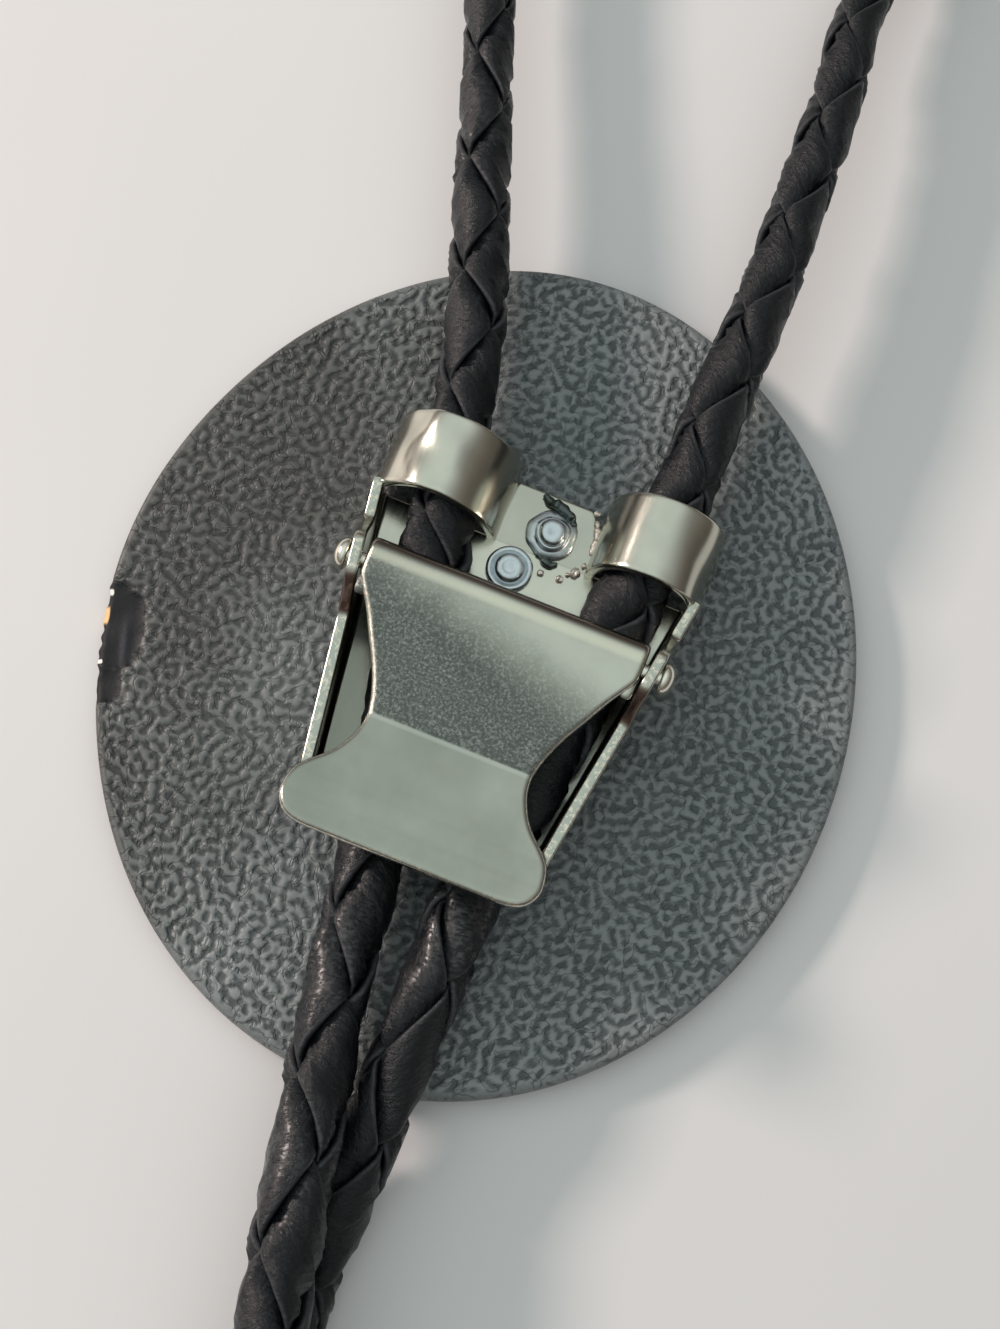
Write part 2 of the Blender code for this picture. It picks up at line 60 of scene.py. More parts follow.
def makeCamera(setup):
    # looks along minus d, where d is straight up leaned back by the tilt and then sideways
    up = Vector((*setup["photoUp"], 0.0)).normalized()
    right = up.cross(Vector((0.0, 0.0, 1.0)))
    tilt, side = math.radians(setup["tilt"]), math.radians(setup["sideTilt"])
    lean = Vector((0.0, 0.0, math.cos(tilt))) - up * math.sin(tilt)
    back = (lean * math.cos(side) + right * math.sin(side)).normalized()
    across = up.cross(back).normalized()
    upward = back.cross(across)
    camera = bpy.data.objects.new("camera", bpy.data.cameras.new("camera"))
    camera.data.lens = setup["lens"]
    camera.data.sensor_width = setup["sensor"]
    camera.data.clip_start = 0.01
    turn = Matrix((across, upward, back)).transposed().to_4x4()
    camera.matrix_world = Matrix.Translation(Vector(setup["place"]) * toMetres) @ turn
    bpy.context.scene.collection.objects.link(camera)
    bpy.context.scene.camera = camera


makeCamera(cameraSetup)
print("camera placed")


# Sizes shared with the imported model

slide = {
    "hingeX": 0.45, "hingeY": 2.4,     # middle of the clasp's hinge line
    "sheetTop": 3.8,                   # upper side of the clasp's base sheet
    "pivot": 10.0,                     # height of the hinge line
    "sheet": 0.9,
}


# Mesh helpers

def unit(v):
    # vectors over their own lengths
    return v / np.maximum(np.linalg.norm(v, axis=-1, keepdims=True), 1e-12)


def smoothStep(x, low, high):
    # 0 below low, 1 above high, 3t^2 - 2t^3 between
    t = np.clip((x - low) / (high - low), 0.0, 1.0)
    return t * t * (3.0 - 2.0 * t)


def ridgeNoise(x, y, seed, waves=7, pitch=1.0):
    # sum of sines in seeded directions, near -1 to 1
    rng = np.random.default_rng(seed)
    total = np.zeros_like(np.asarray(x, float) + np.asarray(y, float))
    for wave in range(waves):
        angle, phase = rng.uniform(0, 2 * np.pi, 2)
        rate = 2 * np.pi / (pitch * rng.uniform(0.6, 1.8))
        total += np.sin(rate * (x * np.cos(angle) + y * np.sin(angle)) + phase)
    return total / np.sqrt(waves)


class Skin:
    # collects grids of points and their faces, and makes one mesh piece of them
    def __init__(self):
        self.points, self.quads, self.fans, self.marks = [], [], [], {}
        self.count = 0

    def add(self, points, quads, **marks):
        for name, value in marks.items():
            self.marks.setdefault(name, []).append((self.count, np.asarray(value, float)))
        self.points.append(points)
        self.quads.append(quads + self.count)
        self.count += len(points)

    def grid(self, grid, loop=False, flip=False, around=False, **marks):
        # a grid of rows and columns; loop joins the last column to the first, around the rows
        rows, columns = grid.shape[:2]
        index = np.arange(rows * columns).reshape(rows, columns)
        if loop:
            index = np.hstack([index, index[:, :1]])
        if around:
            index = np.vstack([index, index[:1]])
        quads = np.stack([index[:-1, :-1], index[:-1, 1:], index[1:, 1:], index[1:, :-1]],
                         axis=-1).reshape(-1, 4)
        self.add(grid.reshape(-1, 3), quads[:, ::-1] if flip else quads,
                 **{name: np.broadcast_to(value, (rows, columns)).ravel()
                    for name, value in marks.items()})

    def rings(self, rings, ends=(True, True), flip=False, **marks):
        # closed rings along a path, with a fan of triangles over each closed end
        rows, columns = rings.shape[:2]
        self.grid(rings, loop=True, flip=flip, **marks)
        first = self.count - rows * columns
        for closed, row, turned in ((ends[0], 0, True), (ends[1], rows - 1, False)):
            if not closed:
                continue
            edge = first + row * columns + np.arange(columns)
            fan = np.stack([edge, np.roll(edge, -1), np.full(columns, self.count)], axis=-1)
            self.fans.append(fan[:, ::-1] if turned != flip else fan)
            self.add(rings[row].mean(axis=0)[None], np.zeros((0, 4), int))

    def plate(self, surface, half, corner, steps=4, **marks):
        # a sheet on both sides of a curved surface: two grids and a rounded rim round them;
        # the rim goes out by the corner, so the surface is drawn in by as much
        rows, columns = surface.shape[:2]
        normal = unit(np.cross(np.gradient(surface, axis=1), np.gradient(surface, axis=0)))
        index = np.arange(rows * columns).reshape(rows, columns)
        border = np.concatenate([index[0, :-1], index[:-1, -1], index[-1, :0:-1],
                                 index[:0:-1, 0]])
        ring, up = surface.reshape(-1, 3)[border], normal.reshape(-1, 3)[border]
        out = unit(np.cross(unit(np.roll(ring, -1, axis=0) - np.roll(ring, 1, axis=0)), up))
        turns = np.linspace(0.0, 0.5 * np.pi, steps)
        away = corner * np.sin(np.concatenate([turns, turns[::-1]]))
        above = half - corner * (1.0 - np.cos(turns))
        above = np.concatenate([above, -above[::-1]])
        rim = ring[None] + out[None] * away[:, None, None] + up[None] * above[:, None, None]
        onBorder = {name: np.broadcast_to(value, (rows, columns)).ravel()[border][None]
                    for name, value in marks.items()}
        self.grid(surface + normal * half, **marks)
        self.grid(surface - normal * half, flip=True, **marks)
        self.grid(rim, loop=True, flip=True, edge=(away / corner)[:, None] + 0 * rim[..., 0],
                  **onBorder)

    def build(self, name, finish, body, slot, creaseAngle=50.0):
        # the mesh with its marks as attributes, riding its body
        mesh = bpy.data.meshes.new(name)
        faces = np.vstack(self.quads).tolist()
        if self.fans:
            faces += np.vstack(self.fans).tolist()
        mesh.from_pydata((np.vstack(self.points) * toMetres).tolist(), [], faces)
        for mark, parts in self.marks.items():
            values = np.zeros(self.count, np.float32)
            for start, part in parts:
                values[start:start + part.size] = part
            mesh.attributes.new(mark, "FLOAT", "POINT").data.foreach_set("value", values)
        work = bmesh.new()
        work.from_mesh(mesh)
        bmesh.ops.remove_doubles(work, verts=work.verts, dist=weldGap * toMetres)
        work.to_mesh(mesh)
        work.free()
        mesh.shade_smooth()
        mesh.set_sharp_from_angle(angle=math.radians(creaseAngle))
        mesh.materials.append(finish)
        piece = bpy.data.objects.new(name, mesh)
        bpy.context.scene.collection.objects.link(piece)
        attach(piece, body)
        return piece


def lathe(profile, steps):
    # radius and height pairs turned about Z, as rings from the bottom up
    angle = np.linspace(0, 2 * np.pi, steps, endpoint=False)
    radius, height = np.array(profile, float).T
    return np.stack([radius[:, None] * np.cos(angle), radius[:, None] * np.sin(angle),
                     np.repeat(height[:, None], steps, axis=1)], axis=-1)


def curve(table, steps):
    # Catmull-Rom curve through a table's rows, steps samples to a span
    table = np.array(table, float)
    ends = np.vstack([2 * table[0] - table[1], table, 2 * table[-1] - table[-2]])
    t = np.linspace(0.0, 1.0, steps, endpoint=False)[:, None]
    parts = [0.5 * (2 * b + (c - a) * t + (2 * a - 5 * b + 4 * c - d) * t ** 2
                    + (3 * b - 3 * c + d - a) * t ** 3)
             for a, b, c, d in zip(ends[:-3], ends[1:-2], ends[2:-1], ends[3:])]
    return np.vstack(parts + [table[-1:]])


def evenly(path, count):
    # the same path read at even steps of its length
    reach = np.concatenate([[0.0], np.cumsum(np.linalg.norm(np.diff(path, axis=0), axis=1))])
    where = np.linspace(0.0, reach[-1], count)
    return np.stack([np.interp(where, reach, path[:, k]) for k in range(path.shape[1])], -1)


# Shader helpers

class Wire:
    # a socket of a material's tree; arithmetic on it adds Math nodes
    def __init__(self, finish, socket):
        self.finish, self.socket = finish, socket

    def maths(self, operation, a, b):
        return self.finish.node("ShaderNodeMath", {"operation": operation}, {0: a, 1: b})

    def __add__(self, other):
        return self.maths("ADD", self, other)

    def __sub__(self, other):
        return self.maths("SUBTRACT", self, other)

    def __rsub__(self, other):
        return self.maths("SUBTRACT", other, self)

    def __mul__(self, other):
        return self.maths("MULTIPLY", self, other)

    def __truediv__(self, other):
        return self.maths("DIVIDE", self, other)

    def __pow__(self, other):
        return self.maths("POWER", self, other)

    def largest(self, other):
        return self.maths("MAXIMUM", self, other)

    def between(self, low, high):
        # 0 at low, 1 at high, smooth and held outside them
        return self.finish.node("ShaderNodeMapRange",
                                {"interpolation_type": "SMOOTHSTEP"},
                                {0: self, 1: low, 2: high, 3: 0.0, 4: 1.0})

    __radd__ = __add__
    __rmul__ = __mul__


class Finish:
    # a material and the few calls that fill its tree
    def __init__(self, name, **fixed):
        self.material = bpy.data.materials.new(name)
        self.material.use_nodes = True
        self.tree = self.material.node_tree
        self.shader = self.tree.nodes["Principled BSDF"]
        for label, value in fixed.items():
            self.shader.inputs[label.replace("_", " ")].default_value = value
        self.coordinates = self.tree.nodes.new("ShaderNodeTexCoord")

    def place(self, socket, value):
        if isinstance(value, Wire):
            self.tree.links.new(value.socket, socket)
        else:
            socket.default_value = value

    def node(self, kind, settings, inputs, output=0):
        # a node with its settings, and with its inputs set or linked
        node = self.tree.nodes.new(kind)
        for label, value in settings.items():
            setattr(node, label, value)
        for label, value in inputs.items():
            self.place(node.inputs[label], value)
        return Wire(self, node.outputs[output])

    def spot(self, scale=(1.0, 1.0, 1.0)):
        # object coordinates in millimetres, stretched
        return self.node("ShaderNodeMapping", {}, {
            "Vector": Wire(self, self.coordinates.outputs["Object"]),
            "Scale": tuple(1.0 / toMetres * s for s in scale)})

    def axes(self, vector):
        split = self.tree.nodes.new("ShaderNodeSeparateXYZ")
        self.place(split.inputs[0], vector)
        return [Wire(self, split.outputs[k]) for k in range(3)]

    def noise(self, vector, scale, detail=3.0, roughness=0.55, distortion=0.0):
        return self.node("ShaderNodeTexNoise", {}, {
            "Vector": vector, "Scale": scale, "Detail": detail, "Roughness": roughness,
            "Distortion": distortion})

    def mark(self, name):
        # a value kept on the mesh, read from the attribute's Fac output
        return self.node("ShaderNodeAttribute", {"attribute_name": name}, {}, output=2)

    def mix(self, factor, low, high):
        # colours blended by a factor; Mix's sockets 6 and 7 are its colours, 2 their result
        low = low if isinstance(low, Wire) else (*low, 1.0)
        high = high if isinstance(high, Wire) else (*high, 1.0)
        return self.node("ShaderNodeMix", {"data_type": "RGBA"}, {0: factor, 6: low, 7: high},
                         output=2)

    def bump(self, height, strength, distance, under=None):
        inputs = {"Height": height, "Strength": strength, "Distance": distance * toMetres}
        if under is not None:
            inputs["Normal"] = under
        return self.node("ShaderNodeBump", {}, inputs)

    def wear(self, **links):
        for label, value in links.items():
            self.place(self.shader.inputs[label.replace("_", " ")], value)
        return self.material


# Light and table

lighting = {
    "view": "Standard",
    "keyFrom": (-0.997, 0.077, 0.0),   # on the table, from the object to the window
    "keyRise": 27.0,                   # degrees above the table
    "keyAway": 0.62, "keyTall": 0.085, "keyWide": 0.16,
    "keyPower": 3.1, "keyColour": (1.0, 0.845, 0.78),
    # height of a direction above the table and the colour of the room there
    "room": ((0.0, (0.130, 0.118, 0.105)), (0.2, (0.180, 0.160, 0.142)),
             (0.4, (0.260, 0.248, 0.232)), (0.65, (0.450, 0.480, 0.470)),
             (0.8, (0.620, 0.680, 0.670)), (0.95, (0.800, 0.900, 0.880))),
    "roomLean": 0.25,                  # how much brighter the room is on the window's side
    "table": (0.81, 0.792, 0.798), "tableSize": 3.0,
}


def makeLight(setup):
    # one soft window light low on the left, in a room that darkens from ceiling to walls
    bpy.context.scene.view_settings.view_transform = setup["view"]
    rise = math.radians(setup["keyRise"])
    flat = Vector(setup["keyFrom"]).normalized()
    toLight = flat * math.cos(rise) + Vector((0.0, 0.0, math.sin(rise)))
    lamp = bpy.data.lights.new("windowLight", "AREA")
    lamp.shape = "RECTANGLE"
    lamp.size, lamp.size_y = setup["keyWide"], setup["keyTall"]
    lamp.energy = setup["keyPower"]
    lamp.color = setup["keyColour"]
    window = bpy.data.objects.new("windowLight", lamp)
    window.location = toLight * setup["keyAway"]
    window.rotation_euler = toLight.to_track_quat("Z", "Y").to_euler()
    bpy.context.scene.collection.objects.link(window)

    world = bpy.data.worlds.new("room")
    bpy.context.scene.world = world
    world.use_nodes = True
    tree = world.node_tree
    background = tree.nodes["Background"]
    # height of a direction plus its share towards the window, as one dot product
    lean = tree.nodes.new("ShaderNodeVectorMath")
    lean.operation = "DOT_PRODUCT"
    lean.inputs[1].default_value = flat * setup["roomLean"] + Vector((0.0, 0.0, 1.0))
    tree.links.new(tree.nodes.new("ShaderNodeTexCoord").outputs["Generated"], lean.inputs[0])
    ramp = tree.nodes.new("ShaderNodeValToRGB")
    for rise, _ in setup["room"][2:]:
        ramp.color_ramp.elements.new(rise)
    for element, (rise, colour) in zip(ramp.color_ramp.elements, setup["room"]):
        element.position, element.color = rise, (*colour, 1.0)
    tree.links.new(lean.outputs["Value"], ramp.inputs[0])
    tree.links.new(ramp.outputs[0], background.inputs["Color"])


def makeTable(setup):
    # one flat square of matt white board under the object
    half = 0.5 * setup["tableSize"]
    mesh = bpy.data.meshes.new("table")
    mesh.from_pydata([(-half, -half, 0.0), (half, -half, 0.0), (half, half, 0.0),
                      (-half, half, 0.0)], [], [(0, 1, 2, 3)])
    table = bpy.data.objects.new("table", mesh)
    table.location.z = -0.00005
    board = Finish("paleBoard", Roughness=0.6)
    cloud = board.noise(board.spot(), 0.012, 2.0)
    colour = board.mix(cloud.between(0.35, 0.65), setup["table"],
                       tuple(0.97 * c for c in setup["table"]))
    mesh.materials.append(board.wear(Base_Color=colour))
    bpy.context.scene.collection.objects.link(table)


makeLight(lighting)
makeTable(lighting)
print("light and table made")


# Medallion: the casting's worm-track back

medallion = {
    "long": 66.5, "wide": 57.9, "thick": 2.6, "lean": 3.8,
    "swells": ((95.0, 0.006, 24.0), (178.0, 0.008, 24.0)),   # degrees, share, spread
    "cells": 296,                      # squares along each side of the back's grid
    "edge": 0.45, "frontEdge": 0.5,    # rounds of the rim at the back and at the front
    "sideFoot": 0.9,                   # where the back's stretch of the rim ends
    "pitch": 0.98, "ridge": 0.14,      # worm tracks: ridge to ridge, and depth
    "band": 0.45, "passes": 2, "gain": 1.2, "broken": 0.50, "seed": 11,
    "cut": (-0.95, 0.62),              # the noise's values in a hollow and on a ridge
    "rimLevel": 0.62,                  # relief of the plain rim, from hollow to ridge
    "gateTurn": 197.0, "gateDepth": 0.75,
    # hollows of the ground spot: middle along the rim, half length, reach inward, share
    "hollows": ((-0.7, 3.7, 3.5, 1.0), (3.9, 1.7, 2.2, 0.55)),
    # bright metal left on its outer edge, the notches near-white chips painted as highlights
    # too: place along the rim, spread
    "gold": (-1.6, 0.75), "notches": ((-3.4, 0.3), (2.1, 0.22)),
    "dipAt": (19.4, 0.9), "dipReach": 5.0, "dipDepth": 0.12,
}


def wormTracks(setup, cell=0.12, side=600):
    # a labyrinth: band-passed noise pushed to plateaus and band-passed again, then broken up
    # by a finer noise; its units are its own standard deviation
    rng = np.random.default_rng(setup["seed"])
    across, along = np.meshgrid(*[np.fft.fftfreq(side, cell)] * 2)
    rate = np.hypot(across, along) * setup["pitch"]

    def through(field, mask):
        field = np.fft.ifft2(np.fft.fft2(field) * mask).real
        return field / field.std()

    band = np.exp(-((rate - 1.0) / setup["band"]) ** 2)
    field = rng.normal(size=(side, side))
    for step in range(setup["passes"]):
        field = np.tanh(setup["gain"] * through(field, band))
    finer = through(rng.normal(size=(side, side)), np.exp(-((rate * 0.62 - 1.0) / 0.45) ** 2))
    return through(field + setup["broken"] * finer, np.exp(-(0.30 * rate) ** 2)), cell


def readField(field, cell, x, y):
    # bilinear reading of a square field centred on the origin
    side = field.shape[0]
    column = np.clip(x / cell + side / 2, 0, side - 2)
    row = np.clip(y / cell + side / 2, 0, side - 2)
    c, r = column.astype(int), row.astype(int)
    u, v = column - c, row - r
    return ((1 - u) * (1 - v) * field[r, c] + u * (1 - v) * field[r, c + 1]
            + (1 - u) * v * field[r + 1, c] + u * v * field[r + 1, c + 1])


def rimRadius(angle, setup):
    # an oval with two slight swells: the radius at each direction
    turn = angle - math.radians(setup["lean"])
    swell = np.ones_like(angle)
    for at, share, spread in setup["swells"]:
        away = (np.degrees(angle) - at + 180.0) % 360.0 - 180.0
        swell = swell + 2 * share * np.exp(-(away / spread) ** 2)
    return swell / np.hypot(np.cos(turn) / (0.5 * setup["wide"]),
                            np.sin(turn) / (0.5 * setup["long"]))


def gateDish(x, y, setup):
    # squarish hollows ground into the rim: 1 at the middle, 0 from the edge out
    turn = math.radians(setup["gateTurn"])
    rim = rimRadius(np.array([turn]), setup)[0]
    alongRim = -x * math.sin(turn) + y * math.cos(turn)
    inward = rim - (x * math.cos(turn) + y * math.sin(turn)) - 0.012 * alongRim ** 2
    wobble = 0.05 * ridgeNoise(x, y, 5, pitch=3.0)
    depth = np.zeros_like(x)
    for middle, half, reach, share in setup["hollows"]:
        span = (np.abs(inward / reach) ** 3 + np.abs((alongRim - middle) / half) ** 3) ** (1 / 3)
        depth = np.maximum(depth, share * np.clip(1.0 - span - wobble, 0.0, 1.0))
    return depth, alongRim, inward


def makeMedallion(setup):
    # back: a square grid pressed into a disc, x = u sqrt(1 - v^2/2), y = v sqrt(1 - u^2/2),
    # stretched to the rim; then rings run round the edge and under to the flat front
    cells = setup["cells"]
    u, v = np.meshgrid(np.linspace(-1, 1, cells + 1), np.linspace(-1, 1, cells + 1))
    discX, discY = u * np.sqrt(1 - 0.5 * v * v), v * np.sqrt(1 - 0.5 * u * u)
    share, angle = np.hypot(discX, discY), np.arctan2(discY, discX)
    reach = rimRadius(angle, setup) - setup["edge"]
    x, y = share * reach * np.cos(angle), share * reach * np.sin(angle)
    field, cell = wormTracks(setup)
    relief = smoothStep(readField(field, cell, x, y), *setup["cut"])
    toRim = reach * (1.0 - share)
    dish, alongRim, inward = gateDish(x, y, setup)
    smooth = smoothStep(dish, 0.0, 0.22)
    plain = setup["rimLevel"]
    relief = plain + (relief - plain) * smoothStep(toRim, 0.0, 0.35)
    relief = relief * (1.0 - smooth)
    dip = np.exp(-((x - setup["dipAt"][0]) ** 2 + (y - setup["dipAt"][1]) ** 2)
                 / setup["dipReach"] ** 2)
    fold = np.exp(-((inward - 1.9) / 0.32) ** 2 - ((alongRim - 0.6) / 1.7) ** 2) * smooth
    z = (setup["thick"] - setup["ridge"] * (1.0 - relief) - setup["dipDepth"] * dip
         - setup["gateDepth"] * np.sqrt(np.clip(dish, 0, 1)) + 0.14 * fold
         + 0.03 * ridgeNoise(x, y, 3, pitch=9.0))
    skin = Skin()
    skin.grid(np.stack([x, y, z], axis=-1), relief=relief, gate=smooth, fold=fold)

    border = np.concatenate([np.arange(cells), cells + (cells + 1) * np.arange(cells),
                             (cells + 1) ** 2 - 1 - np.arange(cells),
                             (cells + 1) * np.arange(cells, 0, -1)])
    ringAngle = angle.ravel()[border]
    outer = rimRadius(ringAngle, setup)
    topZ = z.ravel()[border]
    gate = smooth.ravel()[border]
    edgeAlong = alongRim.ravel()[border]
    middle, spread = setup["gold"]
    gold = np.exp(-((edgeAlong - middle) / spread) ** 2) * (gate > 0.02)
    notch = sum(np.exp(-((edgeAlong - middle) / spread) ** 2)
                for middle, spread in setup["notches"]) * (gate > 0.02)
    burr = 0.10 * ridgeNoise(edgeAlong, 0.0, 8, pitch=1.3) * gate + 0.12 * gold
    edge, frontEdge = setup["edge"], setup["frontEdge"]
    rings = [(outer - edge * (1 - np.sin(turn)) + burr * np.sin(turn),
              topZ - edge * (1 - np.cos(turn))) for turn in np.linspace(0, np.pi / 2, 5)]
    rings.append((outer, np.full_like(outer, setup["sideFoot"])))
    rings += [(outer - frontEdge * (1 - np.cos(turn)),
               frontEdge * (1 - np.sin(turn)) + 0 * outer)
              for turn in np.linspace(0, np.pi / 2, 4)]
    rings.append((0.5 * outer, 0.0 * outer))
    stack = np.stack([np.stack([r * np.cos(ringAngle), r * np.sin(ringAngle), h], axis=-1)
                      for r, h in rings])
    stack[0] = np.stack([x.ravel()[border], y.ravel()[border], topZ], axis=-1)
    level = np.arange(len(rings))[:, None]
    skin.rings(stack, ends=(False, True), flip=True, gate=gate * (level < 5),
               gold=gold * (level > 0) * (level < 6), notch=notch * (level > 0) * (level < 4),
               relief=plain * (1.0 - gate) * (level < 5) + 0.5 * (level > 4))
    return skin


def castMetal():
    # gunmetal: dark hollows, grey-green ridges, a warmer, darker side painted as the window's
    # reflection, a blue-black ground spot with painted sheen and highlights
    cast = Finish("gunmetalCasting", Metallic=0.2)
    relief, gate, fold = cast.mark("relief"), cast.mark("gate"), cast.mark("fold")
    gold, notch = cast.mark("gold"), cast.mark("notch")
    where = cast.spot()
    x, y = cast.axes(where)[:2]
    broad = cast.noise(where, 0.05, 2.0)
    patches = cast.noise(where, 0.30, 3.0)
    fine = cast.noise(where, 3.2, 4.0)
    # thin wriggling crevices: where a noise crosses its own middle value
    level = cast.noise(where, 0.72, 2.0, 0.5, 0.5) - 0.5
    worms = (1.0 - level * level * 900.0).largest(0.0) * (1.0 - gate)
    # painted reflection: the casting is warmer and darker towards the window's side, standing
    # for the window's light on it
    paintedWindowSide = ((x + 2.0) / -24.0 + (broad - 0.5) * 1.6).between(0.0, 0.9)
    # ridges paler and bluer towards the rim, less so on the window's side
    outward = ((x * x + y * y) * 0.001).between(0.15, 1.05)
    cooler = (1.0 - paintedWindowSide * 0.9) * outward
    hollow = cast.mix(paintedWindowSide, (0.083, 0.095, 0.098), (0.044, 0.0445, 0.043))
    ridge = cast.mix(paintedWindowSide, (0.202, 0.221, 0.225), (0.094, 0.095, 0.091))
    ridge = cast.mix(cooler, ridge, (0.270, 0.286, 0.288))
    tone = relief * 0.92 - worms * 0.34 + (fine - 0.5) * 0.50 + (patches - 0.5) * 0.7
    colour = cast.mix(tone.between(-0.05, 1.0), hollow, ridge)
    colour = cast.mix(gate.between(0.05, 0.4), colour, (0.003, 0.004, 0.006))
    # painted sheen: a faint bluish band along the fold in the ground spot
    colour = cast.mix(fold * 0.3, colour, (0.045, 0.058, 0.085))
    colour = cast.mix(gold.between(0.3, 0.7), colour, (0.80, 0.50, 0.24))
    # near-white chips on the ground spot's rim, painted as highlights too
    colour = cast.mix(notch.between(0.35, 0.8), colour, (0.80, 0.78, 0.74))
    rough = 0.54 - relief * 0.06 + (fine - 0.5) * 0.20 + gate * 0.10
    grain = cast.noise(where, 5.0, 4.0)
    bump = cast.bump(1.0 - worms, 0.6, 0.08)
    bump = cast.bump(grain, 0.45, 0.06, under=bump)
    return cast.wear(Base_Color=colour, Roughness=rough, Normal=bump)


castPiece = makeMedallion(medallion).build("medallionCasting", castMetal(), "slide",
                                           "cast_metal", creaseAngle=80.0)
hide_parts("medallion")
print("medallion made")


# Cord: four flat leather strands, plaited round

# Route of the cord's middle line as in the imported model: x, y, z, share of the full radius
cordRoute = (
    (3.6, -67.5, 6.5, 1.0), (4.6, -62.4, 7.3, 1.0), (4.9, -56.8, 7.9, 1.0),
    (4.1, -50.4, 8.05, 1.0), (1.55, -40.1, 7.95, 1.0), (-0.5, -29.4, 6.8, 1.0),
    (-1.8, -19.2, 6.45, 0.92), (-3.9, -8.0, 5.95, 0.74), (-5.7, 2.0, 5.85, 0.71),
    (-6.6, 7.0, 5.9, 0.74), (-7.8, 12.6, 6.55, 0.97), (-8.9, 18.4, 6.85, 1.0),
    (-11.0, 26.2, 7.0, 1.0), (-14.0, 34.6, 6.75, 1.0), (-16.8, 42.8, 6.5, 1.0),
    (-19.8, 51.2, 6.1, 1.0), (-24.1, 63.4, 5.85, 1.0), (-30.4, 81.2, 5.1, 1.0),
    (-42.7, 108.2, 3.5, 1.0), (-60.0, 137.9, 2.66, 1.0), (-80.0, 168.0, 2.56, 1.0),
    (-95.0, 201.0, 2.56, 1.0), (-99.0, 237.0, 2.56, 1.0), (-89.0, 271.0, 2.56, 1.0),
    (-66.0, 298.0, 2.56, 1.0), (-34.0, 314.0, 2.56, 1.0), (1.0, 318.0, 2.56, 1.0),
    (36.0, 310.0, 2.56, 1.0), (66.0, 290.0, 2.56, 1.0), (86.0, 260.0, 2.56, 1.0),
    (92.0, 225.0, 2.56, 1.0), (84.0, 190.0, 2.56, 1.0), (66.0, 159.0, 2.56, 1.0),
    (44.0, 130.9, 2.62, 1.0), (23.7, 104.0, 3.2, 1.0), (11.6, 79.1, 4.5, 1.0),
    (8.65, 63.95, 5.6, 1.0), (9.35, 54.05, 6.45, 1.0), (9.65, 44.25, 6.85, 1.0),
    (9.85, 34.9, 7.0, 1.0), (9.5, 25.8, 7.0, 1.0), (9.5, 19.0, 6.8, 1.0),
    (9.2, 13.2, 6.55, 0.97), (8.6, 8.0, 5.9, 0.74), (7.9, 2.0, 5.85, 0.71),
    (6.7, -8.0, 5.95, 0.74), (5.7, -18.2, 6.45, 0.92), (5.7, -26.8, 6.2, 1.0),
    (5.8, -33.5, 5.4, 1.0), (5.4, -40.15, 3.6, 1.0), (4.95, -45.2, 2.7, 1.0),
    (5.15, -50.2, 2.56, 1.0), (7.1, -57.1, 2.56, 1.0), (10.2, -63.0, 2.8, 1.0),
    (12.9, -67.9, 3.25, 1.0),
)

cord = {
    "core": 1.50,                      # middle line of a strand from the cord's own
    "swing": 0.56,                     # how far a strand rises over and dives under
    "strandWide": 4.05, "strandThick": 0.95, "square": 4.5,
    "curl": 0.10,                      # lift of a strand's edges
    "sharp": 3.4,
    "ring": 24, "step": 0.6, "knots": 2000,
    "samples": 24,                     # samples of the route from one row to the next
    # length of one full turn of a strand at places along the cord
    "turnAt": (0.0, 40.0, 75.0, 120.0, 810.0, 855.0, 890.0, 932.0),
    "turnIs": (24.0, 24.0, 20.0, 18.4, 18.4, 20.0, 24.0, 24.0),
    # slow turning of the whole plait, in degrees
    "twistAt": (0.0, 60.0, 90.0, 140.0, 470.0, 800.0, 850.0, 890.0, 932.0),
    "twistIs": (60.0, 50.0, 45.0, 30.0, 45.0, 60.0, 45.0, 40.0, 40.0),
    "phase": 0.4,
    "floor": 0.03,
    # polished bends, and where the two ends are pressed together: distance, spread, amount
    "shine": ((44.0, 5.0, 1.0), (883.0, 5.0, 1.0), (28.0, 4.0, 0.5), (112.0, 6.0, 0.3)),
    "nudge": ((32.0, 7.5, 0.45), (897.0, 7.0, -0.30)), "nudgeTo": (0.93, 0.37, 0.0),
    # thickness of the plait at rows of the route, pulled tighter where it leaves the slide
    "girthRows": (0, 4, 5, 12, 13, 14, 15, 25, 35, 36, 37, 38, 39, 40, 48, 49, 54),
    "girthIs": (1.06, 1.06, 1.0, 0.97, 0.95, 0.86, 0.83, 0.90, 0.83, 0.83, 0.87, 0.91, 0.95,
                1.0, 1.0, 1.06, 1.06),
}


def smoothRoute(route, steps):
    # Catmull-Rom curve through the points, and the distance reached at each sample
    fine = curve(route, steps)
    along = np.linalg.norm(np.diff(fine[:, :3], axis=0), axis=1)
    return fine, np.concatenate([[0.0], np.cumsum(along)])


def carry(fine, reach, along):
    # place, sideways and upward directions, and squeeze at distances along the route
    def read(table, at):
        return np.stack([np.interp(at, reach, table[:, k]) for k in range(table.shape[1])], -1)
    forward = unit(np.gradient(fine[:, :3], reach, axis=0))
    state = read(fine, along)
    ahead = unit(read(forward, along))
    side = unit(np.cross(ahead, np.array([0.0, 0.0, 1.0])))
    return state[..., :3], side, np.cross(side, ahead), state[..., 3:4]


